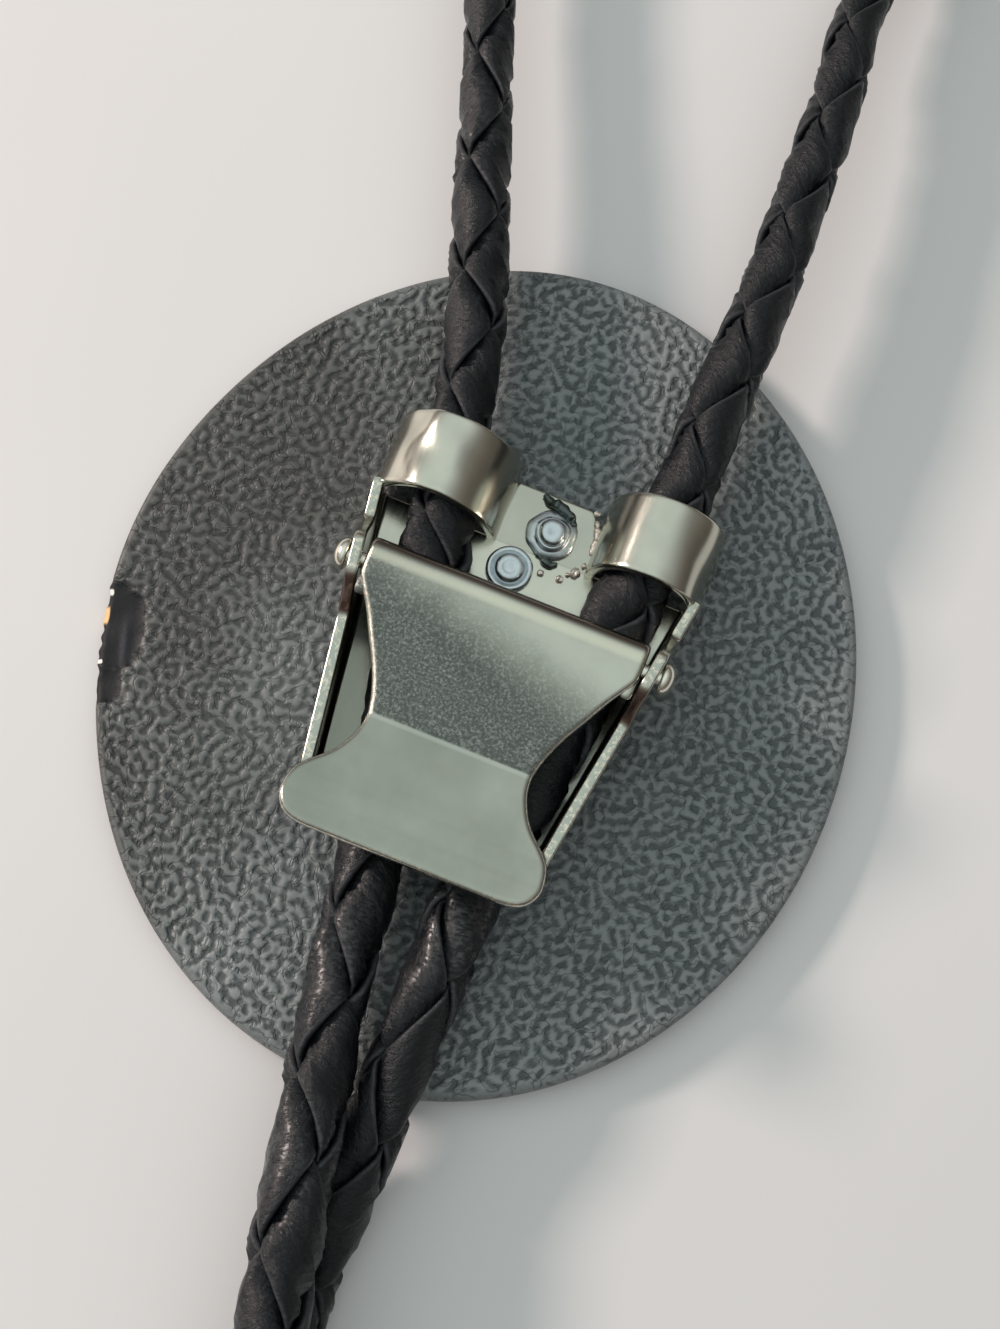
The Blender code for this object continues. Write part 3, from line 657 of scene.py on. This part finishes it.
def makeCord(setup, fine, reach, start, end):
    # strand: angle = hand * phase(s) + half turns; its level is a sharpened cosine of how far
    # it is from the strands of the other hand, +1 over them and -1 under
    rows = int((end - start) / setup["step"]) + 1
    s = np.linspace(start, end, rows)[:, None]
    knots = np.linspace(0.0, reach[-1], setup["knots"])
    rate = 2 * np.pi / np.interp(knots, setup["turnAt"], setup["turnIs"])
    phaseTable = np.concatenate([[0.0], np.cumsum(0.5 * (rate[1:] + rate[:-1])
                                                  * np.diff(knots))]) + setup["phase"]
    girthAt = reach[setup["samples"] * np.array(setup["girthRows"])]
    ringAngle = np.linspace(0, 2 * np.pi, setup["ring"], endpoint=False) + 0.01
    power = 2.0 / setup["square"]
    e = np.sign(np.cos(ringAngle)) * np.abs(np.cos(ringAngle)) ** power
    t = np.sign(np.sin(ringAngle)) * np.abs(np.sin(ringAngle)) ** power
    skin = Skin()
    for strand in range(4):
        hand, half = 1 if strand < 2 else -1, strand % 2
        phase = np.interp(s, knots, phaseTable)
        lead = np.interp(s, knots, rate) * setup["core"]
        slope = np.arctan(lead)
        width = 0.5 * setup["strandWide"] * (
            1.0 + 0.05 * ridgeNoise(s / 9.0, strand * 3.7, 21 + strand))
        sideways = e * width * np.cos(slope)
        lengthways = np.clip(s - hand * e * width * np.sin(slope), start, end)
        theta = hand * phase + math.pi * half + sideways / setup["core"]
        there = np.interp(lengthways, knots, phaseTable)
        if hand > 0:
            level = np.cos(theta + there + math.pi * half)
        else:
            level = -np.cos(theta - there + math.pi * half)
        level = np.tanh(setup["sharp"] * level) / math.tanh(setup["sharp"])
        lumps = (0.07 * ridgeNoise(lengthways / 5.0, theta + 2.0 * strand, 40 + strand)
                 + 0.04 * ridgeNoise(lengthways / 1.4, theta * 2.0, 50 + strand))
        radial = (setup["core"] + setup["swing"] * level + setup["curl"] * (e ** 4 - 0.3)
                  + 0.5 * setup["strandThick"] * t + lumps)
        radial = radial * np.interp(lengthways, girthAt, setup["girthIs"])
        twist = np.radians(np.interp(lengthways, setup["twistAt"], setup["twistIs"]))
        place, side, up, squeeze = carry(fine, reach, lengthways)
        spread = 1.0 / np.sqrt(np.maximum(squeeze, 0.6))
        points = (place + side * (radial * np.cos(theta + twist))[..., None] * spread
                  + up * (radial * np.sin(theta + twist))[..., None] * squeeze)
        points[..., 2] = np.maximum(points[..., 2], setup["floor"])
        shine, nudge = [sum(amount * np.exp(-((lengthways - middle) / spread) ** 2)
                            for middle, spread, amount in setup[key])
                        for key in ("shine", "nudge")]
        points = points + nudge[..., None] * np.array(setup["nudgeTo"])
        skin.rings(points, flip=True, across=e + 0 * s, rim=np.abs(e) + 0 * s, shine=shine,
                   outside=t + 0 * s, along=lengthways, strand=float(strand))
    return skin


def leather():
    # dyed leather: near-black blue-grey face, fibres along the strand, lighter cut edges
    hide = Finish("blackLeather", Metallic=0.0)
    across, along, strand = hide.mark("across"), hide.mark("along"), hide.mark("strand") * 7.0
    lengthwise = hide.node("ShaderNodeCombineXYZ", {}, {0: across * 2.0, 1: along * 0.45,
                                                        2: strand})
    even = hide.node("ShaderNodeCombineXYZ", {}, {0: across * 2.0, 1: along, 2: strand})
    fibres = hide.noise(lengthwise, 2.0, 5.0, 0.62, 0.5)
    pores = hide.noise(even, 3.6, 5.0, 0.65, 0.4)
    broad = hide.noise(even, 0.35, 3.0)
    edge = hide.mark("rim").between(0.88, 1.0) * hide.mark("outside").between(-0.4, 0.5)
    dry = (fibres - 0.5).between(0.07, 0.20) * (broad - 0.40).between(0.0, 0.25)
    colour = hide.mix(broad, (0.0038, 0.0046, 0.0066), (0.0080, 0.0088, 0.0115))
    colour = hide.mix(edge * 0.7, colour, (0.060, 0.061, 0.068))
    colour = hide.mix(dry * 0.5, colour, (0.028, 0.029, 0.033))
    shine = hide.mark("shine")
    rough = 0.32 - shine * 0.13 + (fibres - 0.5) * 0.40 + (broad - 0.5) * 0.20
    bump = hide.bump(fibres, 0.8, 0.22)
    bump = hide.bump(pores, 0.8, 0.14, under=bump)
    crackle = pores.between(0.44, 0.60) * fibres.between(0.36, 0.52)
    hide.shader.inputs["Specular IOR Level"].default_value = 0.34
    hide.shader.inputs["Coat Roughness"].default_value = 0.26
    return hide.wear(Base_Color=colour, Roughness=rough, Normal=bump,
                     Coat_Weight=shine * crackle)


fineRoute, routeReach = smoothRoute(cordRoute, cord["samples"])
leatherFinish = leather()
crown = 0.5 * routeReach[-1]
for name, start, end in (("left", 0.0, crown), ("right", crown, routeReach[-1])):
    plait = makeCord(cord, fineRoute, routeReach, start, end)
    plaitPiece = plait.build("plait_" + name, leatherFinish, "slide", "black_leather",
                             creaseAngle=70.0)
    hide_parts("cord_" + name)
print("cord made")


# Clasp: base sheet with two walls, tongue and cord loops; lever; pins; posts

base = {
    "half": 12.3, "taper": 0.155,      # outer half width at the hinge line, gain per unit of y
    "front": 7.4, "back": -17.0, "bend": 0.45,
    "wallFront": 3.6, "wallBack": 4.9, "wallEnd": 4.2, "endRound": 2.0,
    "earTop": 7.95, "earReach": 4.4,
    "corner": 0.18,                    # round of the sheet's cut edges
}
loops = {
    "wide": 6.05, "outer": 13.55, "high": 6.5, "sheet": 0.8, "corner": 0.24, "seat": 0.4,
    # side, inner side from the centre line, superellipse exponents of outer and inner half
    "sides": ((-1, 3.2, 2.02, 1.75), (1, 4.2, 2.15, 2.1)),
}
tongue = {
    "corner": 0.2,
    "below": 0.015,                    # under the channel's floor
    "grey": 0.28,                      # how much darker than the channel
    # y from the hinge line, left edge, right edge
    "rows": ((5.6, -3.7, 4.7), (8.0, -3.7, 4.7), (9.6, -3.5, 4.2), (11.0, -3.3, 3.7),
             (12.0, -3.15, 3.3), (12.35, -3.0, 3.0)),
}


def atClasp(x, y, z):
    # a place in the clasp, moved by (hingeX, hingeY, sheetTop)
    return np.stack(np.broadcast_arrays(slide["hingeX"] + x, slide["hingeY"] + y,
                                        slide["sheetTop"] + z), axis=-1)


def wallTop(y, setup):
    # front and back walls, a smooth raised ear round the hinge, a quarter circle at the end
    plain = np.where(y > 0, setup["wallFront"], setup["wallEnd"] + (
        setup["wallBack"] - setup["wallEnd"]) * (y + 15.0) / 10.6)
    past = np.clip(setup["back"] + setup["endRound"] - y, 0.0, setup["endRound"])
    plain = plain - setup["endRound"] + np.sqrt(setup["endRound"] ** 2 - past ** 2)
    ear = 1.0 - smoothStep(np.abs(y) / setup["earReach"], 0.22, 0.98)
    return plain + (setup["earTop"] - plain) * ear


def makeChannel(skin, setup):
    # a bent sheet: its middle line goes down one wall, round, across and up the other
    sheet, corner = slide["sheet"], setup["corner"]
    y = np.concatenate([np.linspace(setup["front"] - corner, -6.0, 70),
                        np.linspace(-6.15, setup["back"] + 2.2, 40),
                        np.linspace(setup["back"] + 2.1, setup["back"] + corner, 14)])[::-1]
    half = (setup["half"] + setup["taper"] * y - 0.5 * sheet)[:, None]
    top = (wallTop(y, setup) - corner)[:, None]
    middle = setup["bend"] + 0.5 * sheet
    turns = np.linspace(0.0, 0.5 * np.pi, 9)[None]
    down = np.linspace(0.0, 1.0, 14)[None, :-1]
    wallZ = top + (setup["bend"] - top) * down
    x = np.hstack([-half + 0 * wallZ, -half + middle * (1 - np.cos(turns))])
    z = np.hstack([wallZ, setup["bend"] - middle * np.sin(turns) + 0 * half])
    across = np.linspace(-1.0, 1.0, 34)[None, 1:-1]
    floorX = (half - middle) * across
    x = np.hstack([x, floorX, -x[:, ::-1]])
    z = np.hstack([z, -0.5 * sheet + 0 * floorX, z[:, ::-1]])
    # the ears' rear flanks, where the top of the wall climbs steeply; their cut edges get a
    # painted brown reflection
    climb = smoothStep(np.gradient(top[:, 0], y), 0.35, 0.9)[:, None]
    # painted shade: the channel floor from the hinge back, under the lever, is marked to be
    # darkened
    inside = smoothStep(-y, -4.5, -1.5)[:, None] * (z < setup["bend"])
    skin.plate(atClasp(x, y[:, None], z), 0.5 * sheet, corner, flank=climb + 0 * x,
               inside=inside)


def makeTongue(skin, setup):
    # a flat sheet whose sides draw in towards its front
    rows = curve(setup["rows"], 5)
    share = np.linspace(0.0, 1.0, 30)[None]
    x = rows[:, 1:2] + (rows[:, 2:3] - rows[:, 1:2]) * share
    corner, half = setup["corner"], 0.5 * slide["sheet"]
    skin.plate(atClasp(x, rows[:, :1] - corner, -setup["below"] - half), half, corner,
               inside=setup["grey"])


def makeLoop(skin, setup, side, inner, outerPower, innerPower):
    # a band bent to a superellipse: x = half cos^(2/p), z = height sin^(2/p)
    inset = 0.5 * setup["sheet"]
    middle, half = 0.5 * (inner + setup["outer"]), 0.5 * (setup["outer"] - inner) - inset
    angle = np.linspace(0.0, np.pi, 73)
    power = 2.0 / np.where(angle < 0.5 * np.pi, outerPower, innerPower)
    x = middle + half * np.sign(np.cos(angle)) * np.abs(np.cos(angle)) ** power
    z = (setup["high"] - inset) * np.sin(angle) ** power
    feet = np.array([[x[0], -setup["seat"]], [x[-1], -setup["seat"]]])
    path = evenly(np.vstack([feet[:1], np.stack([x, z], -1), feet[1:]]), 90)
    y = np.linspace(base["front"] - setup["seat"] + setup["corner"],
                    base["front"] + setup["wide"] - setup["corner"], 26)[:, None]
    wave = 0.05 * ridgeNoise(path[None, :, 0] * 0.3, y * 0.25, 60 + side)
    skin.plate(atClasp(side * (path[None, :, 0] + wave), y, path[None, :, 1] + wave),
               inset, setup["corner"])


pin = {
    "shaft": 0.60, "inner": 10.1,
    "wall": 12.5,                      # the head's underside, from the centre line
    # the peened head: radius, distance out from its underside
    "head": ((0.60, 0.0), (1.16, 0.0), (1.28, 0.10), (1.30, 0.28), (1.24, 0.50), (1.10, 0.70),
             (0.90, 0.86), (0.64, 0.98), (0.34, 1.05), (0.08, 1.07)),
}


def makePin(setup, side):
    # shaft and head turned about Z, then laid along X: x = side * z, z = x
    profile = [(setup["shaft"], setup["inner"])]
    profile += [(radius, setup["wall"] + out) for radius, out in setup["head"]]
    rings = lathe(profile, 36)
    skin = Skin()
    skin.rings(atClasp(side * rings[..., 2], rings[..., 1],
                       rings[..., 0] + slide["pivot"] - slide["sheetTop"]), flip=side > 0)
    return skin


lever = {
    "sheet": 0.9, "corner": 0.43,
    "top": 1.9, "lipReach": 1.9, "lipEnd": -0.8, "lipBend": 1.2, "lipHalf": 11.05,
    "waist": 6.45, "paddle": 10.1, "crease": -10.8, "end": -20.4,
    "drop": 0.25, "rise": 1.15,
    # share of the way from hinge to crease, share from the waist to the lip
    "upper": ((0.04, 1.0), (0.13, 0.975), (0.22, 0.85), (0.32, 0.70), (0.42, 0.57),
              (0.52, 0.45), (0.62, 0.32), (0.72, 0.205), (0.82, 0.11), (0.91, 0.04)),
    # share of the way from crease to end, share from the waist to the paddle
    "lower": ((0.0, 0.0), (0.07, 0.01), (0.14, 0.045), (0.21, 0.11), (0.29, 0.21),
              (0.36, 0.33), (0.42, 0.47), (0.48, 0.64), (0.53, 0.77), (0.585, 0.885),
              (0.65, 0.955), (0.72, 0.99), (0.80, 1.0), (0.87, 0.94), (0.925, 0.84),
              (0.965, 0.70), (0.99, 0.50), (1.0, 0.25)),
    "earOuter": 10.95,
    # outline of a hinge ear: degrees from the front, distance from the pivot
    "ear": ((-180, 2.0), (-62, 2.0), (-30, 1.155), (0, 1.0), (30, 1.155), (55, 1.76),
            (90, 1.45), (120, 1.67), (135, 2.05), (153, 3.2), (170, 2.05), (180, 2.0)),
    "hole": 0.9,
}


def leverPath(setup):
    # rows of the plate's upper side, y, z and half width: the lip, its quarter circle bend,
    # the upper plate down to the crease, the paddle
    bend, lipHalf, waist = setup["lipBend"], setup["lipHalf"], setup["waist"]
    bendY, bendZ = setup["lipReach"] - bend, setup["top"] - bend
    rows = [(setup["lipReach"], setup["lipEnd"] + part * (bendZ - setup["lipEnd"]), lipHalf)
            for part in (0.0, 0.5)]
    rows += [(bendY + bend * math.cos(a), bendZ + bend * math.sin(a), lipHalf)
             for a in np.linspace(0.0, 0.5 * np.pi, 10)]
    upper = [(share * setup["crease"], setup["top"] - share * setup["drop"],
              waist + wide * (lipHalf - waist)) for share, wide in setup["upper"]]
    lower = [(setup["crease"] + share * (setup["end"] - setup["crease"]),
              setup["top"] - setup["drop"] + share * setup["rise"],
              waist + wide * (setup["paddle"] - waist)) for share, wide in setup["lower"]]
    rows += curve(upper, 7).tolist() + curve(lower, 7).tolist()
    return np.array(rows)


def makeLeverPlate(skin, setup):
    # rows drawn in by the corner square to the outline, then given the sheet's thickness
    rows = leverPath(setup)
    outline = rows[:, [2, 0]]
    along = unit(np.gradient(outline, axis=0))
    inset = outline + setup["corner"] * np.stack([along[:, 1], -along[:, 0]], -1)
    run = unit(np.gradient(rows[:, :2], axis=0))
    lip = run[:, 1] > 0.3
    inset[lip] = outline[lip] - [setup["corner"], 0.0]
    half = 0.5 * setup["sheet"]
    middleY = inset[:, 1] - half * run[:, 1]
    middleZ = rows[:, 1] + half * run[:, 0]
    share = np.sin(0.5 * np.pi * np.linspace(-1.0, 1.0, 61))[None]
    share = 0.6 * share + 0.4 * np.linspace(-1.0, 1.0, 61)[None]
    x = inset[:, :1] * share
    sag = 0.02 * ridgeNoise(x, middleY[:, None], 71, pitch=8.0)
    points = np.stack([slide["hingeX"] + x, slide["hingeY"] + middleY[:, None] + 0 * x,
                       slide["pivot"] + middleZ[:, None] + sag], axis=-1)
    skin.plate(points, half, setup["corner"])


def makeLeverEar(skin, setup, side):
    # a ring of sheet: outline and hole, joined by four flat or rounded walls
    turn = np.linspace(-180.0, 180.0, 72, endpoint=False)
    outline = np.interp(turn, *np.array(setup["ear"], float).T)
    hole = np.full_like(turn, setup["hole"])
    outer, inner = setup["earOuter"], setup["earOuter"] - setup["sheet"]
    rings = [(hole, inner), (outline - 0.2, inner), (outline, inner + 0.2),
             (outline, outer - 0.2), (outline - 0.2, outer), (hole, outer)]
    angle = np.radians(turn)
    stack = np.stack([np.stack([slide["hingeX"] + side * x + 0 * angle,
                                slide["hingeY"] + r * np.cos(angle),
                                slide["pivot"] + r * np.sin(angle)], -1) for r, x in rings])
    skin.grid(stack, loop=True, around=True, flip=side < 0)


posts = {
    "under": 0.12,                     # their heads above the base sheet
    "rivetAt": (-1.3, 5.35), "studAt": (0.75, 9.15),
    "rivet": ((1.0, -1.3), (1.0, 0.0), (1.76, 0.0), (1.84, 0.10), (1.82, 0.24), (1.70, 0.36),
              (1.52, 0.38), (1.40, 0.30), (1.32, 0.22), (1.25, 0.26), (1.20, 0.42),
              (1.12, 0.60), (0.96, 0.72), (0.74, 0.78), (0.56, 0.76), (0.44, 0.70),
              (0.30, 0.72), (0.05, 0.74)),
    "stud": ((1.0, -1.3), (1.0, 0.0), (1.90, 0.0), (2.00, 0.12), (1.86, 0.28), (1.50, 0.38),
             (1.34, 0.46), (1.30, 0.62), (1.22, 0.66), (1.20, 0.80), (1.10, 0.84),
             (1.08, 0.98), (0.98, 1.04), (0.94, 1.18), (0.80, 1.28), (0.55, 1.34),
             (0.30, 1.30), (0.05, 1.26)),
    # beads of solder: x and y from the hinge line, radius, height
    "beads": ((1.05, 6.0, 0.26, 0.08), (2.59, 6.1, 0.30, 0.10), (3.55, 7.0, 0.42, 0.10),
              (3.05, 6.65, 0.20, 0.06), (4.0, 7.8, 0.22, 0.12), (3.4, 12.2, 0.24, 0.0),
              (-2.9, 5.1, 0.16, 0.05)),
    "seam": ((4.15, 8.9, 0.12, 0.16), (4.2, 9.6, 0.22, 0.30), (4.1, 10.3, 0.2, 0.22),
             (3.9, 11.0, 0.1, 0.26), (3.65, 11.6, 0.0, 0.14)),
    # curls of residue round the stud: x, y, height, half thickness along each
    "curls": (((-0.9, 12.0, 0.2, 0.20), (-0.2, 11.6, 0.35, 0.34), (0.5, 11.5, 0.4, 0.42),
               (1.2, 11.25, 0.45, 0.38), (1.75, 10.9, 0.3, 0.42), (2.1, 10.4, 0.2, 0.28)),
              ((0.3, 7.35, 0.15, 0.18), (0.9, 7.0, 0.22, 0.28), (1.5, 6.85, 0.22, 0.26),
               (2.0, 7.1, 0.15, 0.16))),
}


def makeBead(skin, x, y, radius, height, seed):
    # a lump: a ball whose radius swells by a little noise
    steps = np.linspace(0.06, np.pi - 0.06, 12)[:, None]
    turn = np.linspace(0, 2 * np.pi, 20, endpoint=False)[None]
    size = radius * (1.0 + 0.16 * ridgeNoise(np.cos(turn) * np.sin(steps) * 2.0,
                                             np.cos(steps) * 2.0 + turn * 0, seed, pitch=2.0))
    ball = atClasp(x + size * np.sin(steps) * np.cos(turn),
                   y + size * np.sin(steps) * np.sin(turn), height - size * np.cos(steps))
    skin.rings(ball, solder=1.0)


def makeCurl(skin, table, seed, **marks):
    # a lumpy round rope along a short curve on the sheet
    path = curve(table, 10)
    along = unit(np.gradient(path[:, :3], axis=0))
    side = unit(np.cross(along, [0.0, 0.0, 1.0]))
    up = np.cross(side, along)
    turn = np.linspace(0, 2 * np.pi, 18, endpoint=False)
    size = path[:, 3:4] * (1.0 + 0.22 * ridgeNoise(np.arange(len(path))[:, None] * 0.12,
                                                   np.sin(turn)[None] * 0.6, seed))
    points = (path[:, None, :3] + side[:, None] * (size * np.cos(turn))[..., None]
              + up[:, None] * (size * np.sin(turn))[..., None])
    skin.rings(atClasp(points[..., 0], points[..., 1], points[..., 2]), flip=True, **marks)


def makePosts(setup):
    # the two turned post heads, a little out of round, with their solder and residue
    skin = Skin()
    for key, rough in (("rivet", 0.015), ("stud", 0.055)):
        rings = lathe(setup[key], 56)
        rings[..., :2] *= 1.0 + rough * ridgeNoise(rings[..., :1], rings[..., 1:2], 90,
                                                   pitch=2.2)
        x, y = setup[key + "At"]
        skin.rings(atClasp(rings[..., 0] + x, rings[..., 1] + y,
                           rings[..., 2] + setup["under"]))
    for count, (x, y, radius, height) in enumerate(setup["beads"]):
        makeBead(skin, x, y, radius, height, 80 + count)
    for count, table in enumerate(setup["curls"]):
        makeCurl(skin, table, 100 + count, residue=1.0)
    makeCurl(skin, setup["seam"], 110, solder=1.0)
    return skin


def nickel(name, tint=(0.56, 0.55, 0.475), blastWithPaintedLight=False):
    # satin plated sheet: pale grey-green, cloudy, with patchy golden cut edges whose paler
    # patches are painted glints, and painted shade and reflections where marked
    metal = Finish(name, Metallic=1.0)
    where = metal.spot()
    cloud = metal.noise(where, 0.22, 3.0)
    streaks = metal.noise(metal.spot(scale=(1.0, 0.10, 1.0)), 4.0, 3.0)
    fine = metal.noise(where, 6.0, 3.0, 0.7)
    colour = metal.mix(cloud.between(0.3, 0.7), tuple(0.93 * c for c in tint),
                       tuple(1.07 * c for c in tint))
    rough = 0.20 + (streaks - 0.5) * 0.14 + (cloud - 0.5) * 0.06
    bump = metal.bump(fine, 0.12, 0.03)
    # painted shade: darker on the channel floor under the lever; the tongue takes a share of the
    # same darker tone
    colour = metal.mix(metal.mark("inside") * 0.75, colour, (0.13, 0.14, 0.12))
    if blastWithPaintedLight:
        colour, rough, bump = blastAndPaintedLight(metal, where, colour, rough, bump)
    # cut edges: patchy grey and golden metal, the paler gold standing for painted glints
    patch = metal.noise(where, 2.4, 4.0, 0.7)
    rim = metal.mix(patch.between(0.48, 0.62), (0.44, 0.45, 0.40), (0.78, 0.70, 0.56))
    # painted reflection: dark brown on the cut edges of the ears' rear flanks
    rim = metal.mix(metal.mark("flank"), rim, (0.13, 0.065, 0.055))
    colour = metal.mix(metal.mark("edge").between(0.2, 0.8) * 0.85, colour, rim)
    return metal.wear(Base_Color=colour, Roughness=rough, Normal=bump)


def blastAndPaintedLight(metal, where, colour, rough, bump):
    # the lever's upper half: a darker blasted patch with bright specks and a painted dark
    # reflection over it; a painted highlight line on its crease, a painted highlight on the
    # crest of the lip's bend and a painted brown reflection on the lip's front; the paddle
    # darker towards its left
    x, y = metal.axes(where)[:2]
    fromHinge = y - slide["hingeY"]
    across = x - slide["hingeX"]
    upper = fromHinge.between(lever["crease"] - 0.12, lever["crease"] + 0.12)
    drift = metal.noise(where, 0.16, 3.0)
    # painted dark reflection over the blasted patch: darkest low on the left of the upper plate,
    # lighter towards its top and right
    depth = (fromHinge * -1.2 - across * 0.34 + (drift - 0.5) * 4.0).between(-1.5, 6.5) * upper
    specks = metal.noise(where, 4.6, 4.0, 0.8)
    darkSpecksAndReflection = metal.mix(specks.between(0.44, 0.74), (0.090, 0.096, 0.089), (0.40, 0.41, 0.38))
    colour = metal.mix(depth * 0.95, colour, darkSpecksAndReflection)
    # the paddle darkened, more so towards its left
    paddle = (1.0 - upper) * (0.44 + (drift - 0.5) * 0.5 - across * 0.012)
    colour = metal.mix(paddle, colour, (0.20, 0.213, 0.183))
    # painted highlight: a pale line along the crease
    crease = (1.0 - ((fromHinge - lever["crease"] + 0.15) / 0.24) ** 2).largest(0.0)
    colour = metal.mix(crease * 0.26, colour, (0.75, 0.76, 0.70))
    # painted highlight on the crest of the lip's bend
    crestHighlight = (1.0 - ((fromHinge - 0.40) / 0.50) ** 2).largest(0.0)
    colour = metal.mix(crestHighlight * 0.7, colour, (0.72, 0.68, 0.55))
    # painted reflection: dark brown on the front of the lip's bend
    colour = metal.mix(fromHinge.between(0.78, 1.25) * 0.8, colour, (0.125, 0.092, 0.080))
    rough = rough + depth * 0.10 + (specks - 0.5) * depth * 0.25
    bump = metal.bump(specks, depth * 0.55 + 0.06, 0.06, under=bump)
    return colour, rough, bump


def pewter():
    # dull tin-grey posts with bluish turned rings, solder beads and dark residue
    metal = Finish("postsAndSolder", Metallic=1.0)
    where = metal.spot()
    grain = metal.noise(where, 2.2, 4.0)
    colour = metal.mix(grain, (0.42, 0.47, 0.50), (0.74, 0.79, 0.81))
    solder = metal.mark("solder")
    colour = metal.mix(solder, colour, (0.70, 0.64, 0.58))
    colour = metal.mix(metal.mark("residue"), colour, (0.10, 0.12, 0.115))
    bump = metal.bump(grain, 0.3, 0.06)
    return metal.wear(Base_Color=colour, Roughness=0.22 + grain * 0.16 + solder * 0.22,
                      Normal=bump)


baseSkin = Skin()
makeChannel(baseSkin, base)
makeTongue(baseSkin, tongue)
for side, inner, outerPower, innerPower in loops["sides"]:
    makeLoop(baseSkin, loops, side, inner, outerPower, innerPower)
basePiece = baseSkin.build("claspBaseSheet", nickel("satinNickel"), "slide", "nickel")
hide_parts("clasp_base")

leverSkin = Skin()
makeLeverPlate(leverSkin, lever)
for side in (-1, 1):
    makeLeverEar(leverSkin, lever, side)
leverFinish = nickel("leverNickel", tint=(0.50, 0.50, 0.43), blastWithPaintedLight=True)
leverPiece = leverSkin.build("claspLeverSheet", leverFinish, "lever", "nickel")
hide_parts("clasp_lever")

pinFinish = nickel("pinNickel", tint=(0.80, 0.77, 0.68))
for side, name in ((-1, "left"), (1, "right")):
    pinPiece = makePin(pin, side).build("hingePin_" + name, pinFinish, "slide", "nickel")
    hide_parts("hinge_rivet_" + name)

makePosts(posts).build("postsAndSolder", pewter(), "slide", "nickel")
print("clasp made")


# Cord tips: plain turned tubes with a rolled collar

tip = {
    "reach": 12.6,                     # the cord's direction is taken over this length
    # radius and distance from the cord's end, out from the socket to the round end
    "profile": ((2.75, -0.3), (2.75, 4.1), (2.80, 4.35), (2.95, 4.50), (3.15, 4.46),
                (3.28, 4.25), (3.28, 3.95), (3.16, 3.72), (3.18, 3.3), (3.24, 3.1),
                (3.24, 2.8), (3.18, 2.6), (3.20, -1.0), (3.05, -1.3), (2.90, -1.5),
                (2.86, -1.8), (2.92, -2.1), (2.90, -2.5), (2.28, -19.0), (2.20, -19.8),
                (1.95, -20.35), (1.40, -20.7), (0.70, -20.8), (0.05, -20.8)),
}


def makeTip(setup, route, reach, atStart):
    # the profile turned about the cord's direction at its end
    where = np.array([0.0, setup["reach"]])
    where = where if atStart else reach[-1] - where
    end, inner = np.stack([np.interp(where, reach, route[:, k]) for k in range(3)], -1)
    inward = unit(inner - end)
    side = unit(np.cross(inward, [0.0, 0.0, 1.0]))
    up = np.cross(side, inward)
    rings = lathe(setup["profile"], 48)
    skin = Skin()
    skin.rings(end + side * rings[..., :1] + up * rings[..., 1:2] + inward * rings[..., 2:3])
    return skin


tipFinish = nickel("tipMetal")
for name, atStart in (("left", True), ("right", False)):
    tipPiece = makeTip(tip, fineRoute, routeReach, atStart).build(
        "cordTip_" + name, tipFinish, "slide", "tip_metal")
    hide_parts("tip_" + name)
print("tips made")
